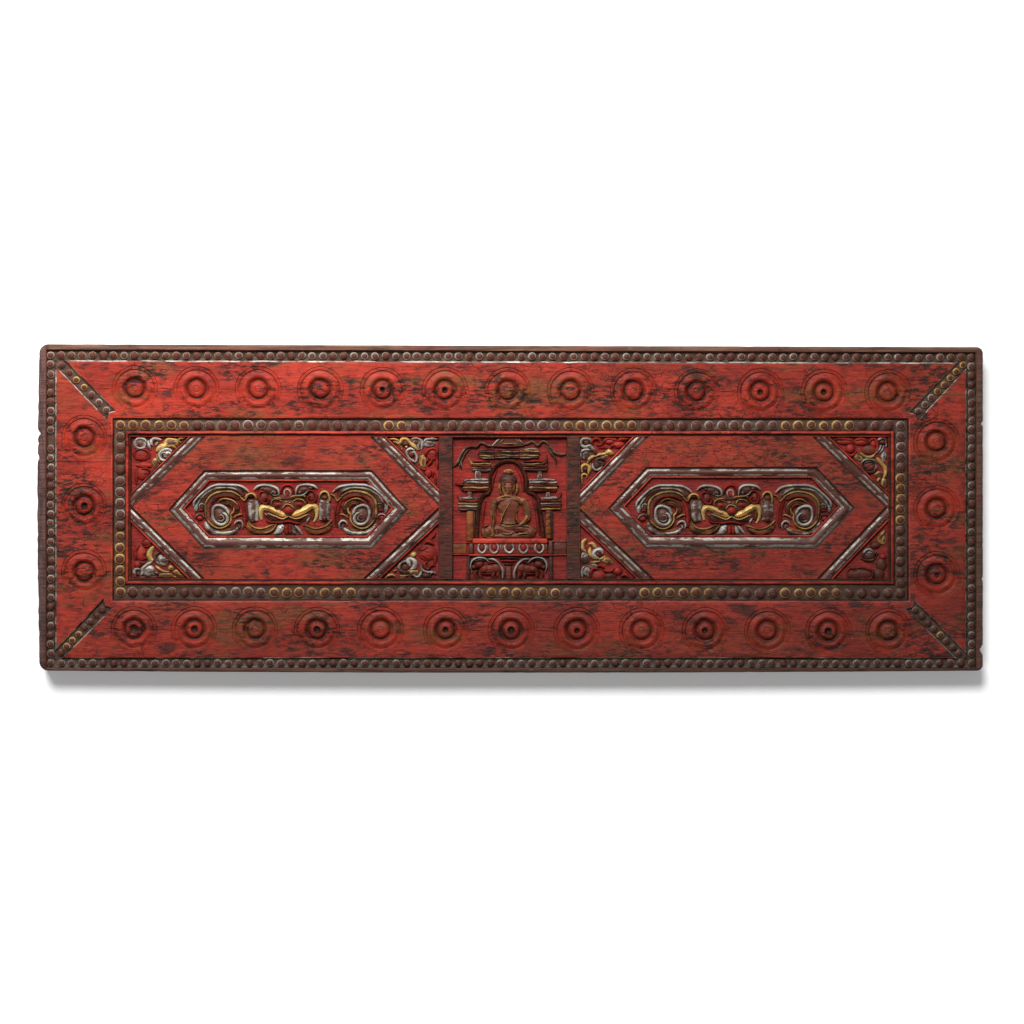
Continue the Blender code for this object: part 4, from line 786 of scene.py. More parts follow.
PEDESTAL_STROKES = (
    ("brown", 4.6, 0.9, -8.6, -37.8, -1, -37.6, 6.8, -37.8),
    ("crimson", 4.2, 1.5, -7, -39.8, -1, -40, 5.2, -39.8),
    ("umber", 3.9, 1.4, -4.6, -42, -1.2, -42.4, 2.4, -42),
    ("crimson", 3.6, 0.4, -3.4, -44.4, -3.5, -54),
    ("crimson", 3.6, 0.4, 0.8, -44.4, 0.9, -54),
)
BEAST_STROKES = (
    ("russet", 3.4, (8.4, 4.4, -8), 13.6, -45.8),
    ("russet", 4, (5.2, 4.6, 0), 9.6, -45.2),
    ("russet", 4.1, (4.4, 3.2, -20), 18.4, -46.2),
    ("russet", 4.4, (4.6, 3.6, 0), 23.2, -42.2),
    ("russet", 4.3, (2.4, 2, 0), 26.6, -44.6),
    ("umber", 4.9, 0.55, 19.4, -40.6, 22.6, -39.6, 26.2, -40.8, 27.2, -43.2),
    ("umber", 4.9, 0.45, 20.4, -43.4, 23.8, -44.4, 27.4, -45.8),
    ("umber", 5.2, (0.8, 0.7, 0), 24.2, -41.4),
    ("crimson", 4.3, 0.6, 5.6, -48.2, 6.4, -43.4, 10.2, -41, 14.6, -41.6, 17.4, -43.8),
    ("crimson", 4, 0.5, 9.6, -50, 14, -49.6, 19, -49.8, 23.4, -48),
    ("russet", 3.9, (1.6, 2, 1.5, 1.7), 7.2, -47.6, 8.2, -50.4, 7, -53, 8.2, -55.4),
    ("umber", 3.6, (1.5, 1.8, 1.3, 1.6), 11, -48.4, 12.2, -50.8, 11.4, -53.4, 12.6, -55.4),
    ("russet", 4, (1.8, 1.8, 1.4, 1.8), 21, -47.6, 21.6, -50.6, 20.8, -53.4, 22.2, -55.4),
    ("russet", 3.7, (1.6, 1.6, 1.3, 1.6), 24.4, -47, 25.6, -50.4, 25.2, -53.2, 26.6, -55.2),
    ("new_silver", 4.8, 0.95, 15.4, -40.6, 17.4, -38.6, 21.4, -37.4, 25.6, -38.2, 28.2, -40.8, 28.9, -44.4,
        27.8, -48.4),
    ("silver", 4.2, 0.6, 18.4, -40.2, 21.8, -39, 25.6, -40, 27, -42.4),
    ("new_silver", 4.3, 1.1, 15.6, -38.4, 12, -38.8, 8.2, -41.4, 5.4, -45.4, 4.2, -50.6, 4.8, -54.2),
    ("silver", 3.6, 0.5, 12.6, -40.6, 9.4, -42.4, 7.2, -45.4),
)
FIGURE_STROKES = (
    ("body", 4.9, (4.1, 2.7, 0), -1.2, 27.4),
    ("body", 5.1, (6.8, 4.9, 0), -1.4, 21.6),
    ("body", 5.2, (5.4, 6.2, 0), -1.3, 16),
    ("body", 4.8, (3, 2.6, 0), -1.3, 12),
    ("body", 6.2, (0.8, 2.2, 0), -1.3, 15.4),
    ("body", 6.3, (1.2, 0.8, 0), -1.3, 14),
    ("body", 5.7, (1.7, 0.8, 0), -1.3, 12.4),
    ("body", 5.3, (1.5, 0.9, 0), -3.6, 16.4),
    ("body", 5.3, (1.5, 0.9, 0), 1, 16.4),
    ("body", 4.4, (0.8, 1.2, 1.1, 0.8), -7.6, 18.6, -8.1, 16, -7.8, 13.2, -7.2, 11),
    ("body", 4.4, (0.8, 1.2, 1.1, 0.8), 5, 18.6, 5.6, 16, 5.3, 13.2, 4.7, 11),
    ("body", 4.2, (3.4, 3, 0), -1.3, 9.4),
    ("body", 4.9, (2.8, 3, 0), -11.4, 5),
    ("body", 4.9, (2.8, 3, 0), 9.8, 5),
    ("body", 5, (2.3, 2.5, 0), 13.4, -7),
    ("body", 4.4, (7, 3.6, 0), -0.8, -14.4),
    ("body", 4.6, (2.4, 2.9, 2.6, 2.9, 2.4), -11.4, 4.8, -6.6, 6.6, -1, 7.4, 4.6, 6.6, 9.6, 4.8),
    ("body", 4.9, (6.2, 8.4, 9, 8.4, 7, 6, 6.2, 7.6), -1, 8.4, -1, 6.4, -1, 3, -1, -0.6, -0.9, -4.2,
        -0.8, -7.2, -0.8, -10.2, -0.8, -13),
    ("body", 5, (2.5, 2.5, 2.3, 2.1, 1.9), -11.8, 5.4, -12.6, 0, -12.8, -4.6, -12.4, -8.4, -12.4, -10.4),
    ("body", 5.8, (1.7, 1.9, 2, 1.7, 1), -12.4, -9.4, -12.8, -12.4, -13, -16, -12.6, -19.4, -12, -22),
    ("body", 5.4, (0.8, 0.9, 0.6), -11.2, -15.6, -10.2, -18, -9.6, -20.2),
    ("body", 5, (2.6, 2.6, 2.5, 2.3, 2.1), 9.8, 5.4, 12, 1.4, 13.4, -2.6, 13.8, -6, 12.2, -8.8),
    ("body", 5.4, (2.1, 2, 1.8, 1.3), 13.6, -7, 10.8, -10.4, 7.6, -12.8, 3.8, -14),
    ("body", 4.6, (2.6, 3.4, 3.6, 3.2, 2.8, 2.2), -19.6, -16.6, -15.6, -15.6, -9, -15.4, -3, -17.4,
        3, -18.8, 8, -19.6),
    ("body", 5, (2, 2.8, 3.6, 3.8, 3), 2, -15.6, 7.6, -15, 12.6, -15.4, 16.4, -17, 18.2, -19.2),
    ("body", 4.2, (2.2, 2.6, 2.8, 2.6, 2.2), -19.4, -20.2, -10, -21, 0, -21.2, 10, -21, 17.6, -20.6),
    ("body", 5.1, (4.6, 4.7, 0), -17.2, -17.6),
    ("body", 5.1, (4.4, 4.8, 0), 15.4, -17.6),
)
HEM_STROKES = (
    ("gold", 6, 0.5, 3, 7.6, 0, 4.2, -3.4, -0.8, -5.2, -4.8, -6.4, -8.2),
    ("gold", 5.3, 0.5, -9.6, 7.6, -4.6, 9.2, -1, 9.4, 3.6, 8.8),
    ("old_gold", 5.3, 0.7, -7.4, -10.4, -3, -11.6, 2.2, -11.6, 6.2, -10.6),
    ("gold", 5.3, 0.6, -8.4, -12.2, -3.4, -13.6, 2, -13.4, 6.4, -12.4),
    ("gold", 4.8, 0.5, -6.4, -4.6, -6.2, -8.4, -7.6, -11.6),
    ("gold", 4.8, 0.5, 5.2, -4, 5, -8, 6.6, -11.2),
    ("gold", 5.4, 0.5, 14.9, -3, 15.4, -6, 13.8, -8.8, 10.8, -11.8),
    ("gold", 5.6, 0.45, -8.4, -17.4, -3.6, -19.4, 0.8, -19, 3, -16.8),
    ("gold", 5.6, 0.5, 2.2, -20.6, 7.4, -19.4, 12.2, -18.8, 16.8, -19.8),
    ("old_gold", 5.4, 0.5, 6, -14.2, 9.6, -13.4, 13.8, -14.2, 18.4, -17.4),
    ("gold", 5.2, 0.5, -20.8, -20.8, -17, -22.2, -13, -22.4),
    ("old_gold", 5.4, 0.5, -20.8, -16, -18.6, -13.6, -15.4, -12.8),
    # Dark marks at the eyes, brows, mouth and low on the lap: painted shade of the creases.
    ("grime", 5.2, (2.4, 1.3, -8), 5, -17.2),
    ("grime", 5.6, (1.5, 0.32, -3), -3.6, 15.9),
    ("grime", 5.6, (1.5, 0.32, 3), 1, 15.9),
    ("grime", 5.1, (1.8, 0.3, 10), -3.8, 18.4),
    ("grime", 5.1, (1.8, 0.3, -10), 1.2, 18.4),
    ("grime", 6, (1.5, 0.3, 0), -1.3, 12.4),
)


def add_shader_node(tree, kind, values=None, **settings):
    node = tree.nodes.new(kind)
    for key, value in settings.items():
        setattr(node, key, value)
    for key, value in (values or {}).items():
        node.inputs[key].default_value = value
    return node


def spread(tree, value, low, high):
    """Turns a value into a soft mask that rises from low to high."""
    node = add_shader_node(
        tree, "ShaderNodeMapRange", {"From Min": low, "From Max": high}, interpolation_type="SMOOTHSTEP")
    tree.links.new(value, node.inputs["Value"])
    return node.outputs["Result"]


def board_place(tree, along=1.0, across=1.0, shift=0.0):
    """The board's own coordinates, stretched along its grain or across it."""
    place = add_shader_node(tree, "ShaderNodeTexCoord")
    mapping = add_shader_node(
        tree, "ShaderNodeMapping", {"Scale": (along, across, 1.0), "Location": (shift, shift, 0)})
    tree.links.new(place.outputs["Object"], mapping.inputs["Vector"])
    return mapping.outputs["Vector"]


def speckle(tree, scale, along, low, high, detail=4.0, shift=0.0, across=1.0):
    """A noise mask on the board's own coordinates, stretched along the grain."""
    texture = add_shader_node(
        tree, "ShaderNodeTexNoise", {"Scale": scale, "Detail": detail, "Roughness": 0.62})
    tree.links.new(board_place(tree, along, across, shift), texture.inputs["Vector"])
    return spread(tree, texture.outputs["Fac"], low, high)


def crackle(tree):
    """Fine cracks across the grain of an old coat of paint."""
    place = board_place(tree, 0.55)
    bend = add_shader_node(tree, "ShaderNodeTexNoise", {"Scale": 160.0, "Detail": 3.0})
    bent = add_shader_node(tree, "ShaderNodeMix", {"Factor": 0.012}, data_type="VECTOR")
    cells = add_shader_node(tree, "ShaderNodeTexVoronoi", {"Scale": 110.0}, feature="DISTANCE_TO_EDGE")
    tree.links.new(place, bend.inputs["Vector"])
    tree.links.new(place, bent.inputs["A"])
    tree.links.new(bend.outputs["Color"], bent.inputs["B"])
    tree.links.new(bent.outputs["Result"], cells.inputs["Vector"])
    return spread(tree, cells.outputs["Distance"], 0.03, 0.0)


def combine(tree, first, second, operation="MULTIPLY"):
    """Works out a mask from two masks or numbers."""
    node = add_shader_node(tree, "ShaderNodeMath", operation=operation, use_clamp=True)
    for socket, value in zip(node.inputs, (first, second)):
        if isinstance(value, (int, float)):
            socket.default_value = value
        else:
            tree.links.new(value, socket)
    return node.outputs[0]


def lay_over(tree, mask, below, above, share=None):
    """Covers one colour with another where the mask says so, and as far as the share says."""
    node = add_shader_node(tree, "ShaderNodeMix", data_type="RGBA")
    tree.links.new(mask if share is None else combine(tree, mask, share), node.inputs["Factor"])
    for socket, colour in ((node.inputs[6], below), (node.inputs[7], above)):
        if isinstance(colour, tuple):
            socket.default_value = (*colour, 1.0)
        else:
            tree.links.new(colour, socket)
    return node.outputs[2]


def along_way(tree, vector, way):
    """How far a vector runs in a given way."""
    node = add_shader_node(tree, "ShaderNodeVectorMath", operation="DOT_PRODUCT")
    node.inputs[1].default_value = way
    tree.links.new(vector, node.inputs[0])
    return node.outputs["Value"]


def facing(tree, low, high):
    """A mask of what faces up, where hands and years have rubbed the surface."""
    geometry = add_shader_node(tree, "ShaderNodeNewGeometry")
    return spread(tree, along_way(tree, geometry.outputs["Normal"], RUB_WAY.normalized()), low, high)


def dirt_and_shade_in_hollows(tree, reach, low, high):
    """A mask of grooves and inner corners from ambient occlusion: dirt, and painted shade where shade falls.
    """
    shade = add_shader_node(tree, "ShaderNodeAmbientOcclusion", {"Distance": reach * MM}, samples=5)
    return spread(tree, shade.outputs["AO"], high, low)


def paint_light_falloff(tree, colour):
    """Darkens the board towards its lower right corner: painted shade of the light falling off away from the
    upper left.
    """
    place = add_shader_node(tree, "ShaderNodeTexCoord")
    run = along_way(tree, place.outputs["Object"], PAINTED_FALLOFF_WAY)
    return lay_over(tree, spread(tree, run, -0.8, 0.7), colour, DIRT_AND_SHADE, 0.5)


def finish_surface(material, colour, roughness, metallic, bump_masks, strength, shine):
    """Wires colour, with painted light falloff towards the lower right, gloss and fine relief to the shader.
    """
    tree = material.node_tree
    shader = tree.nodes["Principled BSDF"]
    # Painted light falloff: the base colour darkens towards the lower right.
    tree.links.new(paint_light_falloff(tree, colour), shader.inputs["Base Color"])
    shader.inputs["Roughness"].default_value = roughness
    shader.inputs["Specular IOR Level"].default_value = shine
    if metallic is not None:
        tree.links.new(metallic, shader.inputs["Metallic"])
    normal = None
    for mask, depth in bump_masks:
        bump = add_shader_node(tree, "ShaderNodeBump", {"Distance": depth * MM, "Strength": strength})
        tree.links.new(mask, bump.inputs["Height"])
        if normal is not None:
            tree.links.new(normal, bump.inputs["Normal"])
        normal = bump.outputs["Normal"]
    tree.links.new(normal, shader.inputs["Normal"])
    return material


def new_material(name):
    material = bpy.data.materials.new(name)
    material.use_nodes = True
    return material, material.node_tree


def lacquer(name, fresh, deep, wear=0.0, dirt=0.0, worn=WORN_WOOD):
    """Old lacquer: brown where it has rubbed through, dark grain streaks, stains, crackle, and dirt with
    painted shade in hollows.
    """
    material, tree = new_material(name)
    colour = lay_over(tree, speckle(tree, 34.0, 0.5, 0.38, 0.62), fresh, deep)
    fibres = speckle(tree, 460.0, 0.14, 0.40, 0.60, 6.0, 1.7)
    patches = speckle(tree, 15.0, 0.6, 0.58 - wear, 0.70 - wear, 9.0, 12.3)
    colour = lay_over(tree, patches, colour, worn, 0.32)
    rubbed = speckle(tree, 34.0, 0.42, 0.59 - wear, 0.68 - wear, 9.0, 3.1)
    colour = lay_over(tree, combine(tree, rubbed, combine(tree, fibres, 0.35, "ADD")), colour, worn)
    grain = speckle(tree, 240.0, 0.5, 0.47, 0.66, 9.0, 5.9)
    colour = lay_over(tree, grain, colour, DIRT_AND_SHADE, 0.5)
    clouds = speckle(tree, 34.0, 0.55, 0.49 - dirt, 0.62 - dirt, 7.0, 8.4)
    streaks = combine(tree, clouds, speckle(tree, 420.0, 0.34, 0.46, 0.58, 9.0, 5.2))
    colour = lay_over(tree, streaks, colour, DIRT_AND_SHADE, 0.9)
    stains = speckle(tree, 70.0, 0.45, 0.60 - dirt, 0.68 - dirt, 9.0, 2.4)
    colour = lay_over(tree, stains, colour, DIRT_AND_SHADE, 0.72)
    scuffs = speckle(tree, 760.0, 0.35, 0.61, 0.70, 3.0, 7.3)
    colour = lay_over(tree, scuffs, colour, CHALKY, 0.25)
    cracks = combine(tree, crackle(tree), speckle(tree, 22.0, 0.6, 0.46, 0.60, 3.0, 6.6))
    colour = lay_over(tree, cracks, colour, DIRT_AND_SHADE, 0.85)
    # Dirt and painted shade in hollows, from ambient occlusion.
    colour = lay_over(tree, dirt_and_shade_in_hollows(tree, 2.2, 0.24, 0.76), colour, DIRT_AND_SHADE, 0.80)
    relief = ((fibres, 0.12), (streaks, -0.16), (cracks, -0.2))
    return finish_surface(material, colour, 0.45, None, relief, 0.8, 0.12)


def bare_wood(name, light, dark):
    """Old handled wood with fine grain along the board and rests of red, burnt at the left end."""
    material, tree = new_material(name)
    grain = speckle(tree, 420.0, 0.05, 0.36, 0.64, 6.0, 4.4)
    colour = lay_over(tree, grain, light, dark)
    red_rest = speckle(tree, 60.0, 0.4, 0.50, 0.60, 6.0, 7.7)
    colour = lay_over(tree, red_rest, colour, RED_REST, 0.5)
    place = add_shader_node(tree, "ShaderNodeTexCoord")
    left_end = spread(tree, along_way(tree, place.outputs["Object"], (1, 0, 0)), *BURNT_END)
    upright_grain = speckle(tree, 380.0, 1.0, 0.38, 0.62, 6.0, 3.8, 0.14)
    burnt = lay_over(tree, upright_grain, *BURNT_WOOD)
    colour = lay_over(tree, left_end, colour, burnt, 0.85)
    pale = speckle(tree, 300.0, 0.3, 0.60, 0.70, 6.0, 1.1)
    colour = lay_over(tree, pale, colour, PALE_WOOD, 0.5)
    stains = speckle(tree, 60.0, 0.7, 0.55, 0.68, 7.0, 9.9)
    colour = lay_over(tree, stains, colour, DIRT_AND_SHADE, 0.8)
    # Dirt and painted shade in hollows, from ambient occlusion.
    colour = lay_over(tree, dirt_and_shade_in_hollows(tree, 2.5, 0.4, 0.92), colour, DIRT_AND_SHADE, 0.75)
    return finish_surface(material, colour, 0.6, None, ((grain, 0.25), (stains, -0.2)), 0.9, 0.3)


def leaf(name, bright, dull, crest_from, crest_to, metal, rubbed,
         crest=WORN_CREST, reach=1.5, lost_share=0.88):
    """Metal leaf over red ground: rubbed through on crests, lost and tarnished in spots, dark with dirt and
    painted shade in hollows.
    """
    material, tree = new_material(name)
    tarnish = speckle(tree, 260.0, 0.6, 0.42, 0.64, 5.0, 1.2)
    colour = lay_over(tree, tarnish, bright, dull)
    flecks = speckle(tree, 520.0, 0.4, 0.59, 0.67, 4.0, 3.3)
    colour = lay_over(tree, flecks, colour, crest, 0.7)
    lost = speckle(tree, 120.0, 0.40, 0.505, 0.56, 9.0, 8.8)
    colour = lay_over(tree, lost, colour, crest, lost_share)
    breaks = speckle(tree, 130.0, 0.4, 0.60 - rubbed, 0.74 - rubbed, 5.0, 6.1)
    rim = combine(tree, facing(tree, crest_from - 0.07, crest_from), breaks)
    colour = lay_over(tree, rim, colour, DIRT_AND_SHADE, 0.6)
    worn = combine(tree, facing(tree, crest_from, crest_to), breaks)
    colour = lay_over(tree, worn, colour, crest)
    # Dirt and painted shade in hollows, from ambient occlusion.
    colour = lay_over(tree, dirt_and_shade_in_hollows(tree, reach, 0.30, 0.80), colour, DIRT_AND_SHADE, 0.78)
    metallic = combine(tree, combine(tree, 1.0, worn, "SUBTRACT"), metal)
    relief = ((tarnish, 0.08), (flecks, -0.10), (lost, -0.15))
    return finish_surface(material, colour, 0.43, metallic, relief, 0.6, 0.2)


def make_materials():
    """Every paint, wood and leaf that shows on the cover."""
    materials = {"wood": bare_wood("bare_wood", (0.15, 0.062, 0.030), (0.050, 0.022, 0.012))}
    for key, *looks in LACQUERS:
        materials[key] = lacquer(*looks)
    for key, *looks in LEAVES:
        materials[key] = leaf(*looks)
    return materials


def deselect_all():
    if bpy.context.object and bpy.context.object.mode != "OBJECT":
        bpy.ops.object.mode_set(mode="OBJECT")
    bpy.ops.object.select_all(action="DESELECT")


def select_only(items):
    deselect_all()
    for item in items:
        item.select_set(True)
    bpy.context.view_layer.objects.active = items[0]


def clean_mesh(item):
    """Merges doubled points and turns every face outwards."""
    select_only([item])
    bpy.ops.object.mode_set(mode="EDIT")
    bpy.ops.mesh.select_all(action="SELECT")
    bpy.ops.mesh.remove_doubles(threshold=0.00001)
    bpy.ops.mesh.normals_make_consistent(inside=False)
    bpy.ops.object.mode_set(mode="OBJECT")


def falling_edge(x, y):
    """How far the board's upper part sinks towards its right end."""
    share = min(1.0, max(0.0, (y - DROP_STARTS) / (HALF_WIDTH - DROP_STARTS)))
    return UPPER_EDGE_DROP * share * (x + HALF_LENGTH) / (2 * HALF_LENGTH)


def lean(item):
    """Lets the upper part of a shape follow the board's falling upper edge."""
    for point in item.data.vertices:
        x, y = point.co.x / MM, point.co.y / MM
        point.co.y -= falling_edge(x, y) * MM


def unevenness(point, size):
    """A smooth drift that is the same at the same place on every run."""
    place = point / size
    shifts = (Vector((0, 0, 0)), Vector((31.4, 0, 7.3)), Vector((0, 47.1, 3.9)))
    return Vector([noise.noise(place + shift) for shift in shifts])


def hand_cut(item, amount, size, upright=0.4):
    """Moves the points a little, as no tool in a hand runs quite straight."""
    for point in item.data.vertices:
        drift = unevenness(point.co, size * MM)
        point.co.x += drift.x * amount * MM
        point.co.y += drift.y * amount * MM
        point.co.z += drift.z * amount * MM * upright


def finish_piece(item, name, slot, angle=50.0):
    """Names a finished piece, smooths it and lets it ride with the board."""
    item.name = name
    item.data.name = name
    select_only([item])
    bpy.ops.object.transform_apply(location=True, rotation=True, scale=True)
    bpy.ops.object.shade_smooth_by_angle(angle=math.radians(angle))
    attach(item, "root")


def join(items):
    select_only(items)
    if len(items) > 1:
        bpy.ops.object.join()
    return bpy.context.object


def finish_carving(items, name, slot, amount, size, upright=0.4, angle=50.0):
    """Joins carved forms into one piece and gives it the unevenness of handwork."""
    item = join(items)
    hand_cut(item, amount, size, upright)
    finish_piece(item, name, slot, angle)


def rib(points, widths, material, level, rise):
    """A round-backed rib through points on the board, half of it sunk under its level."""
    deselect_all()
    bpy.ops.curve.primitive_bezier_curve_add()
    item = bpy.context.object
    curve = item.data
    spline = curve.splines[0]
    spline.bezier_points.add(len(points) - 2)
    spline.resolution_u = 4
    for knot, (x, y), width in zip(spline.bezier_points, points, widths):
        knot.handle_left_type = knot.handle_right_type = "AUTO"
        knot.co = (x * MM, y * MM, 0)
        knot.radius = max(width, THINNEST_RIB)
    curve.twist_mode = "Z_UP"
    curve.bevel_depth = MM
    curve.bevel_resolution = 2
    curve.use_fill_caps = True
    item.scale = (1, 1, rise)
    item.location = (0, 0, level * MM)
    curve.materials.append(material)
    select_only([item])
    bpy.ops.object.convert(target="MESH")
    bpy.ops.object.transform_apply(location=True, rotation=True, scale=True)
    clean_mesh(item)
    return item


def dome(x, y, wide, long, turn, level, height, material):
    """A rounded knob whose lower half is sunk in the board."""
    deselect_all()
    bpy.ops.mesh.primitive_uv_sphere_add(segments=20, ring_count=8, location=(x * MM, y * MM, level * MM))
    item = bpy.context.object
    item.scale = (wide * MM, long * MM, height * MM)
    item.rotation_euler = (0, 0, math.radians(turn))
    bpy.ops.object.transform_apply(location=True, rotation=True, scale=True)
    item.data.materials.append(material)
    return item


def block(left, right, top, bottom, low, high):
    deselect_all()
    bpy.ops.mesh.primitive_cube_add(size=1, location=(
        (left + right) / 2 * MM, (top + bottom) / 2 * MM, (low + high) / 2 * MM))
    item = bpy.context.object
    item.scale = ((right - left) * MM, (top - bottom) * MM, (high - low) * MM)
    bpy.ops.object.transform_apply(location=True, rotation=True, scale=True)
    return item


def lay_slabs(slabs, materials):
    """Sets blocks with softened edges on the shrine's ground."""
    items = []
    for key, left, right, top, bottom, high, edge in slabs:
        item = block(left, right, top, bottom, SHRINE_FOOT, high)
        bpy.ops.object.mode_set(mode="EDIT")
        bpy.ops.mesh.select_all(action="SELECT")
        bpy.ops.mesh.bevel(offset=edge * MM, segments=2, affect="EDGES")
        bpy.ops.object.mode_set(mode="OBJECT")
        item.data.materials.append(materials[key])
        items.append(item)
    return items


def plate(loop, low, high, material=None):
    """A block with the outline of a loop, its lower face down."""
    deselect_all()
    bpy.ops.mesh.primitive_circle_add(vertices=len(loop), radius=0.01, fill_type="NGON")
    item = bpy.context.object
    for point, (x, y) in zip(item.data.vertices, loop):
        point.co = (x * MM, y * MM, high * MM)
    bpy.ops.object.mode_set(mode="EDIT")
    bpy.ops.mesh.select_all(action="SELECT")
    bpy.ops.mesh.extrude_region_move(TRANSFORM_OT_translate={"value": (0, 0, (low - high) * MM)})
    bpy.ops.mesh.select_all(action="SELECT")
    bpy.ops.mesh.normals_make_consistent(inside=False)
    bpy.ops.object.mode_set(mode="OBJECT")
    if material is not None:
        item.data.materials.append(material)
    return item


def select_lowest_face(item):
    """In edit mode, selects the face that lies lowest."""
    bpy.ops.mesh.select_mode(type="FACE")
    bpy.ops.mesh.select_all(action="DESELECT")
    form = bmesh.from_edit_mesh(item.data)
    lowest = min(form.faces, key=lambda face: (face.calc_center_median().z, -face.calc_area()))
    lowest.select_set(True)
    bmesh.update_edit_mesh(item.data)


def add_board_slots(item, materials, slot=None):
    """Gives a cutter the board's materials, all its faces one of them if that is named."""
    item.data.materials.clear()
    for key in BOARD_SLOTS:
        item.data.materials.append(materials[key])
    if slot is not None:
        for face in item.data.polygons:
            face.material_index = slot


def divide_long_edges(item, step, below):
    """Cuts the long edges under a height into steps, edges of like length alike, so that they can waver."""
    select_only([item])
    bpy.ops.object.mode_set(mode="EDIT")
    bpy.ops.mesh.select_mode(type="EDGE")
    form = bmesh.from_edit_mesh(item.data)
    wanted = form.edges.layers.int.new("cuts")
    groups = {}
    for edge in form.edges:
        middle = (edge.verts[0].co + edge.verts[1].co) / 2
        cuts = round(edge.calc_length() / (step * MM)) - 1
        if middle.z < below * MM and cuts > 1:
            edge[wanted] = cuts
            groups.setdefault(round(cuts / 8), []).append(edge)
    for edges in groups.values():
        most = max(edge[wanted] for edge in edges)
        for edge in edges:
            edge[wanted] = most
    counts = sorted({edge[wanted] for edge in form.edges} - {0})
    bmesh.update_edit_mesh(item.data)
    for cuts in counts:
        bpy.ops.mesh.select_all(action="DESELECT")
        form = bmesh.from_edit_mesh(item.data)
        wanted = form.edges.layers.int["cuts"]
        for edge in form.edges:
            if edge[wanted] == cuts:
                edge.select_set(True)
        bmesh.update_edit_mesh(item.data)
        bpy.ops.mesh.subdivide(number_cuts=cuts, quadcorner="INNERVERT")
        form = bmesh.from_edit_mesh(item.data)
        wanted = form.edges.layers.int["cuts"]
        for edge in form.edges:
            if edge[wanted] == cuts:
                edge[wanted] = 0
    bpy.ops.object.mode_set(mode="OBJECT")


def face_cutter(materials):
    """Everything that is sunk between the margin and the field, with the band and roll left standing."""
    left, right, upper, lower, height, _ = FACE_TERRACES[0]
    item = block(left, right, upper, lower, height, ABOVE_BOARD)
    add_board_slots(item, materials)
    select_only([item])
    bpy.ops.object.mode_set(mode="EDIT")
    select_lowest_face(item)
    old = FACE_TERRACES[0]
    for terrace in FACE_TERRACES[1:]:
        left, right, upper, lower, height, slot = terrace
        bpy.ops.mesh.extrude_region_move(TRANSFORM_OT_translate={"value": (0, 0, (height - old[4]) * MM)})
        middle_old = ((old[0] + old[1]) / 2, (old[2] + old[3]) / 2)
        size = ((right - left) / (old[1] - old[0]), (upper - lower) / (old[2] - old[3]), 1)
        centre = (middle_old[0] * MM, middle_old[1] * MM, height * MM)
        bpy.ops.transform.resize(value=size, center_override=centre)
        shift = ((left + right) / 2 - middle_old[0], (upper + lower) / 2 - middle_old[1])
        bpy.ops.transform.translate(value=(shift[0] * MM, shift[1] * MM, 0))
        paint_walls(item, slot)
        old = terrace
    paint_selected(item, RED)
    bpy.ops.object.mode_set(mode="OBJECT")
    divide_long_edges(item, 5.0, THICKNESS + 0.5)
    for point in item.data.vertices:
        if point.co.z < (ABOVE_BOARD - 1) * MM:
            drift = unevenness(point.co, 19 * MM) * 0.28 + unevenness(point.co, 7 * MM) * 0.12
            point.co.x += drift.x * MM
            point.co.y += drift.y * MM
            point.co.z += min(0.0, drift.z) * 0.5 * MM
    lean(item)
    return item


def paint_walls(item, slot):
    """Gives the faces around the selected face their slot."""
    form = bmesh.from_edit_mesh(item.data)
    floor = next(face for face in form.faces if face.select)
    for edge in floor.edges:
        for face in edge.link_faces:
            if face is not floor:
                face.material_index = slot
    bmesh.update_edit_mesh(item.data)


def paint_selected(item, slot):
    form = bmesh.from_edit_mesh(item.data)
    for face in form.faces:
        if face.select:
            face.material_index = slot
    bmesh.update_edit_mesh(item.data)


def stepped_cutter(loop, top, steps, floor_slot, materials, waver):
    """A cutter that leaves a moulding around a sunk ground: each step goes in, down and a little aside."""
    item = plate(loop, top, ABOVE_BOARD)
    add_board_slots(item, materials)
    select_only([item])
    bpy.ops.object.mode_set(mode="EDIT")
    select_lowest_face(item)
    for inward, down, slot, shift in steps:
        bpy.ops.mesh.inset(thickness=inward * MM, depth=down * MM, use_even_offset=True)
        bpy.ops.transform.translate(value=(0, shift * MM, 0))
        paint_walls(item, slot)
    paint_selected(item, floor_slot)
    bpy.ops.object.mode_set(mode="OBJECT")
    divide_long_edges(item, 4.0, top + 0.5)
    for point in item.data.vertices:
        if point.co.z < (ABOVE_BOARD - 1) * MM:
            drift = unevenness(point.co, 9 * MM) * waver
            point.co.x += drift.x * MM
            point.co.y += drift.y * MM
            point.co.z += min(0.0, drift.z) * MM
    return item


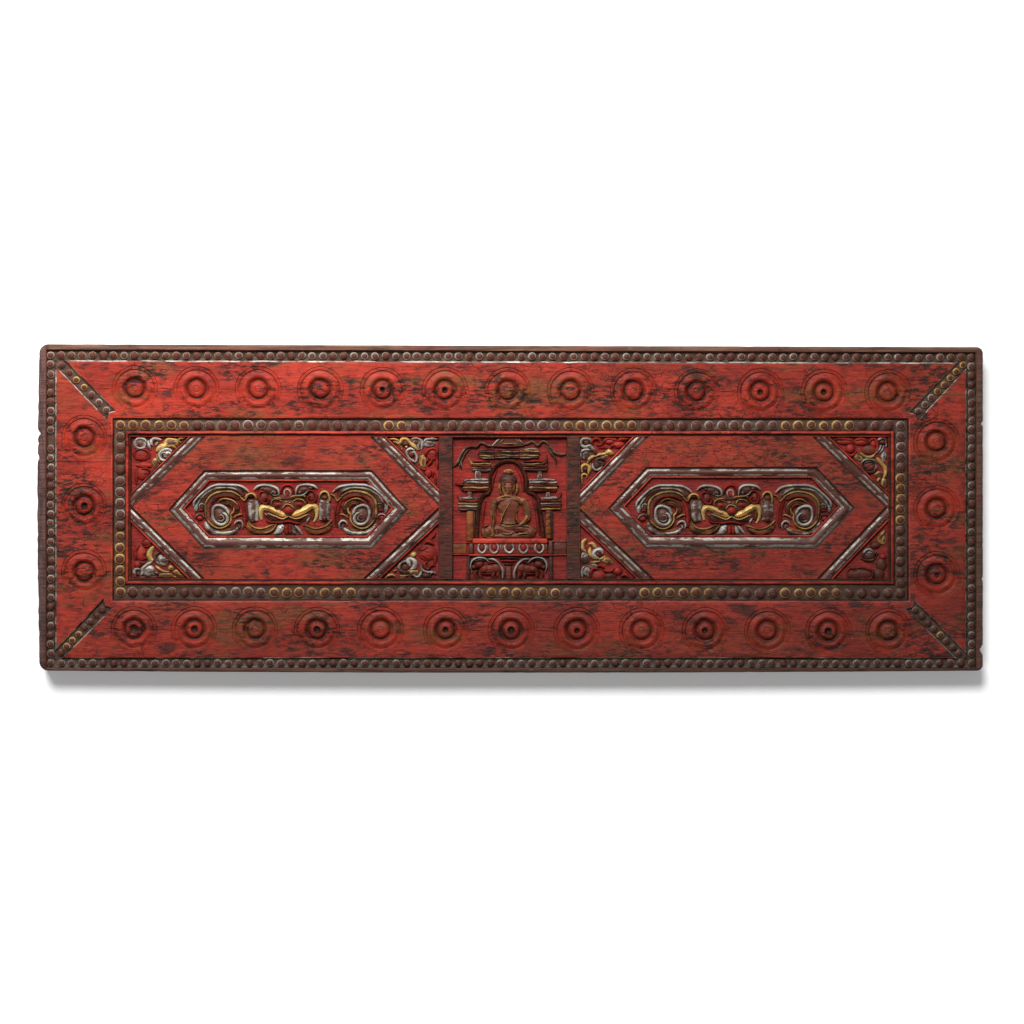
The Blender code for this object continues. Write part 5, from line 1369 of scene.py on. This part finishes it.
def diagonal_cutter(corner, materials):
    """A cutter with the section of the moulding beside a corner triangle, mitred at both ends."""
    x, y, way_x, way_y, leg_x, leg_y = corner
    section = [(offset, height) for offset, height, _ in DIAGONAL_SECTION]
    slots = [slot for _, _, slot in DIAGONAL_SECTION]
    section = [(section[0][0], ABOVE_BOARD), *section, (section[-1][0], ABOVE_BOARD)]
    slots = [SHADE_AND_GRIME, *slots, SHADE_AND_GRIME]
    deselect_all()
    bpy.ops.mesh.primitive_cylinder_add(vertices=len(section), radius=0.01, depth=0.01)
    item = bpy.context.object
    add_board_slots(item, materials, SHADE_AND_GRIME)
    for index, (offset, height) in enumerate(section):
        longer = 1 + offset * math.hypot(leg_x, leg_y) / (leg_x * leg_y)
        low, high = item.data.vertices[2 * index], item.data.vertices[2 * index + 1]
        low.co = ((x + way_x * leg_x * longer) * MM, y * MM, height * MM)
        high.co = (x * MM, (y + way_y * leg_y * longer) * MM, height * MM)
    for face in item.data.polygons:
        places = sorted({point // 2 for point in face.vertices})
        if len(places) == 2 and places[1] == places[0] + 1:
            face.material_index = slots[places[1]]
    clean_mesh(item)
    divide_long_edges(item, 4.0, THICKNESS)
    for point in item.data.vertices:
        if point.co.z < (ABOVE_BOARD - 1) * MM:
            point.co += unevenness(point.co, 8 * MM) * 0.16 * MM
    return item


def roundel_places():
    """Middle of each roundel and the radius of the hole that wear has left in it, if any."""
    for index in range(UPPER_ROUNDELS):
        share = index / (UPPER_ROUNDELS - 1)
        x = UPPER_START[0] + UPPER_FIRST_PITCH * index + UPPER_PITCH_GROWTH * index ** 2 / 2
        yield x, UPPER_START[1] - UPPER_FALL * share, UPPER_HOLES.get(index, 0)
        drift = LOWER_DRIFT * math.sin(2 * math.pi * share)
        x = LOWER_START[0] + LOWER_PITCH * index - drift
        yield x, LOWER_START[1] - LOWER_FALL * share, LOWER_HOLES.get(index, 0)
    for (x, y), hole in zip(LEFT_ROUNDELS + RIGHT_ROUNDELS, SIDE_HOLES):
        yield x, y, hole


def roundel_cutters(materials):
    """Turned dishes for all roundels, each one set a little differently."""
    chance = random.Random(7)
    deselect_all()
    outer = ROUNDEL_PROFILE[-1][0]
    profile = [(0.0, CUTTER_RISE), (outer, CUTTER_RISE), *reversed(ROUNDEL_PROFILE), (0.0, ROUNDEL_EYE)]
    mesh = bpy.data.meshes.new("roundel")
    edges = [(index, index + 1) for index in range(len(profile) - 1)]
    mesh.from_pydata([(radius * MM, 0, height * MM) for radius, height in profile], edges, [])
    item = bpy.data.objects.new("roundel", mesh)
    bpy.context.collection.objects.link(item)
    select_only([item])
    bpy.ops.object.mode_set(mode="EDIT")
    bpy.ops.mesh.select_all(action="SELECT")
    bpy.ops.mesh.spin(steps=ROUNDEL_STEPS, angle=math.tau, center=(0, 0, 0), axis=(0, 0, 1))
    bpy.ops.object.mode_set(mode="OBJECT")
    clean_mesh(item)
    add_board_slots(item, materials)
    for face in item.data.polygons:
        radius = math.hypot(face.center.x, face.center.y) / MM
        face.material_index = SHADE_AND_GRIME if ROUNDEL_GROOVE[0] < radius < ROUNDEL_GROOVE[1] else RED
    copies = []
    for x, y, hole in roundel_places():
        copy = item.copy()
        copy.data = item.data.copy()
        bpy.context.collection.objects.link(copy)
        copy.location = (x * MM, y * MM, ROUNDEL_LEVEL * MM)
        grow = chance.uniform(0.985, 1.02)
        copy.scale = (grow, grow * chance.uniform(0.985, 1.01), 1)
        copy.rotation_euler = (0, 0, chance.uniform(0, 6))
        for point in copy.data.vertices:
            radius = math.hypot(point.co.x, point.co.y) / MM
            if radius < hole and point.co.z < 0:
                point.co.z -= HOLE_DEPTH * (1 - (radius / hole) ** 2) * MM
                point.co.x += HOLE_ASIDE * MM
        for face in copy.data.polygons:
            if math.hypot(face.center.x, face.center.y) / MM < hole and face.center.z < 0:
                face.material_index = SHADE_AND_GRIME
        copies.append(copy)
    bpy.data.objects.remove(item)
    joined = join(copies)
    bpy.ops.object.transform_apply(location=True, rotation=True, scale=True)
    hand_cut(joined, 0.3, 7.0)
    return joined


def mitre_cutters(materials):
    """The beaded channels across the band's corners, with a forked inner end."""
    items = []
    for start, end, _ in MITRES:
        run = (Vector(end) - Vector(start)).normalized()
        across = Vector((-run.y, run.x)) * MITRE_HALF_WIDTH
        first, last = Vector(start) - run * MITRE_OUTWARD, Vector(end) + run * MITRE_INWARD
        fork, wider = run * FORK_LENGTH, across * FORK_SPREAD
        loop = (first + across, first - across, last - wider + fork, last + run, last + wider + fork)
        item = stepped_cutter(loop, BAND_TOP + OVER, MITRE_WALL, CHANNEL, materials, 0.1)
        lean(item)
        items.append(item)
    return join(items)


def knife_line(points, width, level, materials, slot=SHADE_AND_GRIME, depth=0.8):
    """A thin wavering cut through points, as a marking knife or a drying crack leaves it."""
    left_side, right_side = [], []
    for (x, y), (next_x, next_y) in zip(points, points[1:]):
        count = max(2, round(math.dist((x, y), (next_x, next_y)) / 3.5))
        across = Vector((y - next_y, next_x - x)).normalized() * width / 2
        for step in range(count):
            place = Vector((x, y)).lerp(Vector((next_x, next_y)), step / count)
            place += unevenness(Vector((place.x, place.y, 1)), 6).to_2d() * 0.5
            swell = 0.8 + 0.4 * noise.noise(Vector((place.x, place.y, 4)) / 3)
            half = across * (swell if left_side else 0.3)
            left_side.append(place + half)
            right_side.append(place - half)
    tip = Vector(points[-1])
    item = plate([*left_side, tip, *reversed(right_side)], level - depth, ABOVE_BOARD)
    add_board_slots(item, materials, slot)
    return item


def scribed_lines(materials):
    """The layout lines that the carver left between the roundels."""
    chance = random.Random(11)
    places = [(x, y) for x, y, _ in roundel_places()]
    upper = sorted(place for place in places if place[1] > 70)
    lower = sorted(place for place in places if place[1] < -70)
    lines = []
    for row in (upper, lower):
        for (x, y), (next_x, next_y) in zip(row, row[1:]):
            lines.append(((x + LINE_START, y), (next_x - LINE_START, next_y)))
        for x, y in row:
            for way in (-1, 1):
                long = chance.uniform(1.5, 4.5)
                aside = chance.uniform(-0.6, 0.6)
                lines.append(((x, y + way * TICK_START), (x + aside, y + way * (TICK_START + long))))
    for column in (LEFT_ROUNDELS, RIGHT_ROUNDELS):
        for (x, y), (next_x, next_y) in zip(column, column[1:]):
            lines.append(((x, y - LINE_START), (next_x, next_y + LINE_START)))
    return join([knife_line(line, chance.uniform(0.28, 0.5), BAND_TOP + OVER, materials) for line in lines])


def rounded_corner(corner, before, after, radius):
    corner = Vector(corner)
    back = (Vector(before) - corner).normalized()
    ahead = (Vector(after) - corner).normalized()
    middle = corner + (back + ahead) * radius
    for step in range(CORNER_STEPS + 1):
        angle = math.pi / 2 * step / CORNER_STEPS
        yield tuple(middle - ahead * radius * math.cos(angle) - back * radius * math.sin(angle))


def board_outline():
    """The board seen from above: falling upper edge, bowed lower and left edges, worn corners."""
    left = -HALF_LENGTH + LEFT_END_BOW
    lower = -HALF_WIDTH + LOWER_EDGE_BOW
    corners = (
        (left, lower), (HALF_LENGTH, lower), (HALF_LENGTH, HALF_WIDTH - UPPER_EDGE_DROP), (left, HALF_WIDTH))
    radii = (LEFT_CORNER_RADIUS, RIGHT_CORNER_RADIUS, RIGHT_CORNER_RADIUS, LEFT_CORNER_RADIUS)
    arcs = []
    for index, radius in enumerate(radii):
        before, after = corners[index - 1], corners[(index + 1) % 4]
        arcs.append(list(rounded_corner(corners[index], before, after, radius)))
    bows = (Vector((0, -LOWER_EDGE_BOW)), Vector((0, 0)), Vector((0, 0)), Vector((-LEFT_END_BOW, 0)))
    loop = []
    for index, (arc, bow) in enumerate(zip(arcs, bows)):
        loop.extend(arc)
        start, end = Vector(arc[-1]), Vector(arcs[(index + 1) % 4][0])
        is_end = index in (1, 3)
        count = round((end - start).length / (END_STEP if is_end else EDGE_STEP))
        rough = LEFT_END_ROUGHNESS if index == 3 else EDGE_ROUGHNESS
        inward = Vector(((end - start).y, -(end - start).x)).normalized() * -1
        for step in range(1, count):
            share = step / count
            point = start.lerp(end, share) + bow * (1 - (2 * share - 1) ** 2)
            drift = noise.noise(Vector((point.x, point.y, 0)) / 11)
            drift += noise.noise(Vector((point.x, point.y, 5)) / 5) * 0.5
            depth = rough * abs(drift)
            for side, place, half, notch in END_NOTCHES:
                if point.x * side > 0 and is_end:
                    depth += notch * max(0.0, 1 - abs(point.y - place) / half)
            loop.append(tuple(point + inward * depth))
    return loop


def carve(board, cutter):
    """Takes a cutter out of the board and removes it. A cut that fails is made again a hair aside."""
    uncut = board.data.copy()
    for shift in CUT_SHIFTS:
        cutter.location.x += shift * MM
        step = board.modifiers.new("carve", "BOOLEAN")
        step.operation = "DIFFERENCE"
        step.solver = "EXACT"
        step.object = cutter
        select_only([board])
        bpy.ops.object.modifier_apply(modifier=step.name)
        if len(board.data.polygons) >= len(uncut.polygons) / 2:
            break
        board.data = uncut.copy()
    bpy.data.objects.remove(cutter)
    bpy.data.meshes.remove(uncut)


def make_board(materials):
    """The board itself, cut from one block."""
    board = plate(board_outline(), 0, THICKNESS)
    add_board_slots(board, materials, WOOD)
    wear = board.modifiers.new("worn edges", "BEVEL")
    wear.width = EDGE_WEAR * MM
    wear.segments = 3
    wear.limit_method = "ANGLE"
    wear.angle_limit = math.radians(60)
    select_only([board])
    bpy.ops.object.modifier_apply(modifier=wear.name)
    carve(board, face_cutter(materials))
    carve(board, mitre_cutters(materials))
    carve(board, scribed_lines(materials))
    carve(board, join([knife_line(line, 0.42, BAND_TOP + OVER, materials) for line in BAND_CRACKS]))
    carve(board, roundel_cutters(materials))
    cutters = []
    for x, y, reach, straight, half in HEXAGONS:
        loop = ((x - reach, y), (x - straight, y - half), (x + straight, y - half),
                (x + reach, y), (x + straight, y + half), (x - straight, y + half))
        cutters.append(stepped_cutter(loop, FIELD + OVER, HEXAGON_STEPS, GROUND, materials, 0.16))
    carve(board, join(cutters))
    cutters = []
    for x, y, way_x, way_y, leg_x, leg_y in CORNERS:
        loop = ((x, y), (x + way_x * leg_x, y), (x, y + way_y * leg_y))
        cutters.append(stepped_cutter(loop, FIELD + OVER, CORNER_WALL, GROUND, materials, 0.1))
    carve(board, join(cutters))
    for side in (-1, 1):
        carve(board, join([diagonal_cutter(corner, materials) for corner in CORNERS if corner[3] == side]))
    left, right, top, bottom = SHRINE
    loop = ((left, bottom), (right, bottom), (right, top), (left, top))
    carve(board, stepped_cutter(loop, FIELD + OVER, SHRINE_WALL, GROUND, materials, 0.1))
    grooves = []
    for x in POST_OUTER_EDGES:
        grooves.append(knife_line(((x, top + 0.8), (x, bottom - 0.4)), 0.75, FIELD, materials, CREST, 0.7))
    grooves += [knife_line(line, 0.4, FIELD + OVER, materials) for line in FIELD_CRACKS]
    carve(board, join(grooves))
    for face in board.data.polygons:
        x, y, z = face.center / MM
        if face.material_index == RED and z > FIELD - 0.6 and abs(y) < top:
            if POST_OUTER_EDGES[0] < x < POST_OUTER_EDGES[1]:
                face.material_index = POST
    finish_piece(board, "carved_board", "red_lacquer", 30.0)
    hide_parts("cover_board")


def make_bead(radius):
    """A round bead with a rubbed, slightly flattened top."""
    deselect_all()
    bpy.ops.mesh.primitive_circle_add(vertices=12, radius=radius * MM, fill_type="NGON", location=(0, 0, 0))
    item = bpy.context.object
    bpy.ops.object.mode_set(mode="EDIT")
    bpy.ops.mesh.select_all(action="SELECT")
    height = BEAD_TOP - BEAD_FOOT
    last_size, last_rise = 1.0, 0.0
    for size, rise in BEAD_PROFILE:
        bpy.ops.mesh.extrude_region_move(
            TRANSFORM_OT_translate={"value": (0, 0, (rise - last_rise) * height * MM)})
        share = size / last_size
        bpy.ops.transform.resize(value=(share, share, 1), center_override=(0, 0, 0))
        last_size, last_rise = size, rise
    bpy.ops.mesh.select_all(action="SELECT")
    bpy.ops.mesh.normals_make_consistent(inside=False)
    bpy.ops.object.mode_set(mode="OBJECT")
    item.location.z = BEAD_FOOT * MM
    bpy.ops.object.transform_apply(location=True, rotation=True, scale=True)
    return item


def set_bead(pattern, x, y, material, chance):
    """Sets a copy of the bead, turned, stretched and sunk a little by chance."""
    copy = pattern.copy()
    copy.data = pattern.data.copy()
    copy.data.materials.append(material)
    bpy.context.collection.objects.link(copy)
    grow = chance.uniform(0.93, 1.06)
    wide, long = grow * chance.uniform(0.95, 1.05), grow * chance.uniform(0.95, 1.05)
    copy.scale = (wide, long, chance.uniform(0.985, 1.0))
    tilt = [chance.uniform(-0.004, 0.004) for _ in range(2)]
    copy.rotation_euler = (*tilt, chance.uniform(0, 6.28))
    aside, along = chance.uniform(-0.3, 0.3), chance.uniform(-0.3, 0.3)
    copy.location = ((x + aside) * MM, (y - falling_edge(x, y) + along) * MM, 0)
    return copy


def row_places(corners, gaps):
    for index, count in enumerate(gaps):
        start, end = Vector(corners[index]), Vector(corners[(index + 1) % len(corners)])
        yield [tuple(start.lerp(end, step / count)) for step in range(count)]


def outer_beads(chance):
    """Place and leaf of each bead in the outer rows, where one has broken out."""
    for row in row_places(OUTER_BEAD_CORNERS, OUTER_BEAD_GAPS):
        for x, y in row:
            if x >= MISSING_BEAD[0] or not MISSING_BEAD[1] < y < MISSING_BEAD[2]:
                yield x, y, PALE if chance.random() < 0.5 else BROWN


def inner_beads(chance):
    for row, groups in zip(row_places(INNER_BEAD_CORNERS, INNER_BEAD_GAPS), INNER_BEAD_LEAF):
        kinds = [kind for count, kind in groups for _ in range(count)]
        for (x, y), kind in zip(row, kinds):
            yield x, y, BROWN if kind == PALE and chance.random() < 0.25 else kind


def mitre_beads(_chance):
    for start, end, kinds in MITRES:
        for step, kind in enumerate(kinds):
            yield *Vector(start).lerp(Vector(end), step / (len(kinds) - 1)), kind


def make_beads(materials):
    chance = random.Random(3)
    for name, radius, slot, beads in (
            ("outer_beads", OUTER_BEAD_RADIUS, "silver_leaf", outer_beads),
            ("inner_beads", INNER_BEAD_RADIUS, "gold_leaf", inner_beads),
            ("mitre_beads", MITRE_BEAD_RADIUS, "silver_leaf", mitre_beads)):
        pattern = make_bead(radius)
        copies = [set_bead(pattern, x, y, materials[f"bead_{kind}"], chance) for x, y, kind in beads(chance)]
        bpy.data.objects.remove(pattern)
        finish_piece(join(copies), name, slot, 60.0)


def lay_strokes(strokes, middle, level, materials, side=1, broad=1.0):
    """Carves a list of strokes around a middle, mirrored for side -1, with the gouge widths times broad."""
    items = []
    for key, height, width, *numbers in strokes:
        paint = materials[key]
        places = [(middle[0] + side * x, middle[1] + y) for x, y in zip(numbers[::2], numbers[1::2])]
        if len(places) == 1:
            wide, long, turn = width
            swell = 0.5 + 0.5 * broad
            items.append(dome(*places[0], wide * swell, long * swell, side * turn, level, height, paint))
            continue
        if not isinstance(width, tuple):
            width = (0.5 * width, *[width] * (len(places) - 2), 0.5 * width)
        width = [share * broad for share in width]
        items.append(rib(places, width, paint, level, height / max(width)))
    return items


def make_scroll(name, mask, side, materials):
    """Foliage scroll: silver arch leaf, gilt volute, red stem, silver coil, calyx and small curls."""
    middle = (mask[0] + side * SCROLL_REACH[side], mask[1] + SCROLL_DROP)
    items = lay_strokes(SCROLL_STROKES, middle, HEXAGON_GROUND, materials, -side, HEXAGON_BROAD)
    finish_carving(items, name, "gold_leaf", 0.3, 7.0)


def make_mask(name, mask, materials):
    """Horned mask: crest, horns, ears, brows, eyes, nose, gilt moustache, lip and leafy beard."""
    items = lay_strokes(MASK_STROKES, mask, HEXAGON_GROUND, materials, 1, HEXAGON_BROAD)
    finish_carving(items, name, "gold_leaf", 0.3, 6.0)


def make_corner_leaves(name, middle, strokes, materials):
    """Leaf scrolls that fill a corner triangle."""
    items = lay_strokes(strokes, middle, CORNER_GROUND, materials, 1, CORNER_BROAD)
    finish_carving(items, name, "silver_leaf", 0.35, 4.0)


def roof_rows(left, right, top, bottom, left_point, right_point, *keys):
    """Strokes for one roof tier: mouldings above each other, their ends drawn in to a point."""
    step = (top - bottom) / len(keys)
    rows = []
    for index, key in enumerate(keys):
        y = top - (index + 0.5) * step
        draw_in = abs(y - (top + bottom) / 2) / (top - bottom)
        start, end = left + left_point * draw_in, right - right_point * draw_in
        height, heave, share = ROUND_MOULDING if index % 2 else FLAT_MOULDING
        width = step * share
        rows.append((
            key, height, (width * 0.8, width, width, width * 0.8),
            start, y, (2 * start + end) / 3, y + heave, (start + 2 * end) / 3, y - heave, end, y))
    return rows


def make_shrine(materials):
    """The stepped shrine around the niche: finial, roof tiers with horns, short posts and columns."""
    strokes = list(SHRINE_STROKES)
    for roof in SHRINE_ROOFS:
        strokes += roof_rows(*roof)
    for start in STUD_STARTS:
        for index in range(7):
            x = start + 2.3 * index + 0.3 * (index % 3)
            strokes.append(("new_silver", 5.1, (0.65, 0.55, 0), x, 22.0 - 0.2 * (index % 2)))
    items = lay_strokes(strokes, (0, 0), SHRINE_GROUND, materials)
    items += lay_slabs(SHRINE_TIERS, materials)
    items.append(plate(FINIAL, SHRINE_FOOT, 25.6, materials["umber"]))
    finish_carving(items, "shrine_roofs", "silver_leaf", 0.35, 5.0, 0.3)
    finish_carving(lay_slabs(SHRINE_COLUMNS, materials), "shrine_columns", "red_lacquer", 0.3, 8.0, 0.2)


def make_streamers(materials):
    """Silk streamers that fall from the finial to both sides."""
    items = lay_strokes(STREAMER_STROKES, (0, 0), SHRINE_GROUND, materials)
    finish_carving(items, "streamers", "silver_leaf", 0.25, 4.0)


def make_niche_arch(materials):
    """The three-lobed arch behind the figure."""
    items = lay_strokes(ARCH_STROKES, (0, 0), SHRINE_GROUND, materials)
    finish_carving(items, "niche_arch", "red_lacquer", 0.35, 9.0)


def make_throne(materials):
    """Lotus seat with outlined petals over a rail and the compartment of the two beasts."""
    strokes = []
    for index, (middle, wide) in enumerate(PETALS):
        outline = [number for share, y in PETAL_OUTLINE for number in (middle + wide * share, y)]
        strokes.append(("silver" if index == 1 else "new_silver", 1.9, PETAL_WIDTHS, *outline))
        strokes.append(("crimson" if index % 2 else "umber", 1.5, (wide * 0.6, 2.6, 0), middle, -29.6))
    for x in PETAL_GAPS:
        strokes.append(("silver", 1.5, 0.5, x - 1.1, -27.2, x - 0.7, -30.0, x, -32.0))
        strokes.append(("old_gold", 1.5, 0.45, x + 1.2, -27.2, x + 0.9, -29.4, x + 0.2, -31.4))
    items = lay_slabs(THRONE_SLABS, materials) + lay_strokes(strokes, (0, 0), 26.6, materials)
    finish_carving(items, "lotus_throne", "red_lacquer", 0.3, 6.0, 0.3, 45.0)


def make_beasts(materials):
    """Two beasts that look outwards on both sides of a pedestal."""
    items = lay_strokes(PEDESTAL_STROKES, (0, 0), SHRINE_GROUND, materials)
    items += lay_slabs(PEDESTAL_SLABS, materials)
    for side in (-1, 1):
        items += lay_strokes(BEAST_STROKES, (-1.0, 0), SHRINE_GROUND, materials, side)
    finish_carving(items, "throne_beasts", "red_lacquer", 0.35, 4.0, 0.3)


def is_hair(x, y):
    """If a place on the figure is above the hair line."""
    return 19.6 < y < 25.2 and abs(x + 1.3) < 7.4 and y > 21.4 - 0.06 * (x + 1.3) ** 2


def make_figure(materials):
    """Seated figure: one hand over the knee, one in the lap, robe over one shoulder."""
    body = {"body": materials["figure"]}
    item = join(lay_strokes(FIGURE_STROKES, (0, 0), SHRINE_GROUND, body))
    blend = item.modifiers.new("one block", "REMESH")
    blend.mode = "VOXEL"
    blend.voxel_size = 0.30 * MM
    bpy.ops.object.modifier_apply(modifier=blend.name)
    soften = item.modifiers.new("rounded by the tool", "SMOOTH")
    soften.factor = 0.5
    soften.iterations = 2
    bpy.ops.object.modifier_apply(modifier=soften.name)
    item.data.materials.clear()
    for key in ("figure", "hair"):
        item.data.materials.append(materials[key])
    for face in item.data.polygons:
        face.material_index = int(is_hair(face.center.x / MM, face.center.y / MM))
    finish_piece(item, "seated_figure", "gold_leaf", 180.0)
    hems = lay_strokes(HEM_STROKES, (0, 0), SHRINE_GROUND, materials)
    finish_carving(hems, "robe_hems", "gold_leaf", 0.2, 4.0, 0.2)


def aim(item, way):
    """Turns a lamp so that its light comes from the given way."""
    item.rotation_euler = Vector(way).to_track_quat("Z", "Y").to_euler()


def make_stage():
    """Plain white table, a window from the upper left, a softbox along the upper edge, camera above."""
    deselect_all()
    bpy.ops.mesh.primitive_plane_add(size=8)
    table = bpy.context.object
    table.name = "white_table"
    material, tree = new_material("white_table")
    shader = tree.nodes["Principled BSDF"]
    shader.inputs["Base Color"].default_value = (TABLE_WHITE, TABLE_WHITE, TABLE_WHITE, 1)
    shader.inputs["Roughness"].default_value = 0.9
    shader.inputs["Emission Color"].default_value = (1, 1, 1, 1)
    shader.inputs["Emission Strength"].default_value = TABLE_GLOW
    table.data.materials.append(material)
    world = bpy.data.worlds.new("studio")
    bpy.context.scene.world = world
    world.use_nodes = True
    world.node_tree.nodes["Background"].inputs["Color"].default_value = (1, 1, 1, 1)
    world.node_tree.nodes["Background"].inputs["Strength"].default_value = ROOM_LIGHT
    bpy.ops.object.light_add(type="SUN", location=(-0.6, 1.0, 2.0))
    window = bpy.context.object
    window.data.energy = WINDOW_STRENGTH
    window.data.angle = math.radians(15)
    aim(window, WINDOW_WAY)
    bpy.ops.object.light_add(type="AREA", location=SOFTBOX_PLACE)
    softbox = bpy.context.object
    softbox.data.shape = "RECTANGLE"
    softbox.data.size, softbox.data.size_y = SOFTBOX_SIZE
    softbox.data.energy = SOFTBOX_STRENGTH
    aim(softbox, SOFTBOX_WAY)
    camera = bpy.data.objects.new("camera", bpy.data.cameras.new("camera"))
    bpy.context.scene.collection.objects.link(camera)
    camera.location = (1.5 * MM, -2.7 * MM, CAMERA_HEIGHT)
    camera.data.sensor_width = SENSOR
    camera.data.lens = SENSOR * (CAMERA_HEIGHT - THICKNESS * MM) / (PICTURE_WIDTH * MM)
    camera.data.clip_end = 20
    bpy.context.scene.camera = camera
    bpy.context.scene.view_settings.view_transform = "Standard"


def main():
    materials = make_materials()
    make_stage()
    make_board(materials)
    make_beads(materials)
    for name, mask in MASKS.items():
        make_mask(f"{name}_mask", mask, materials)
        for side, word in ((-1, "left"), (1, "right")):
            make_scroll(f"{name}_mask_{word}_scroll", mask, side, materials)
    for index, (middle, strokes) in enumerate(CORNER_CARVINGS):
        make_corner_leaves(f"corner_leaves_{index + 1}", middle, strokes, materials)
    make_shrine(materials)
    make_streamers(materials)
    make_niche_arch(materials)
    make_throne(materials)
    make_beasts(materials)
    make_figure(materials)


main()
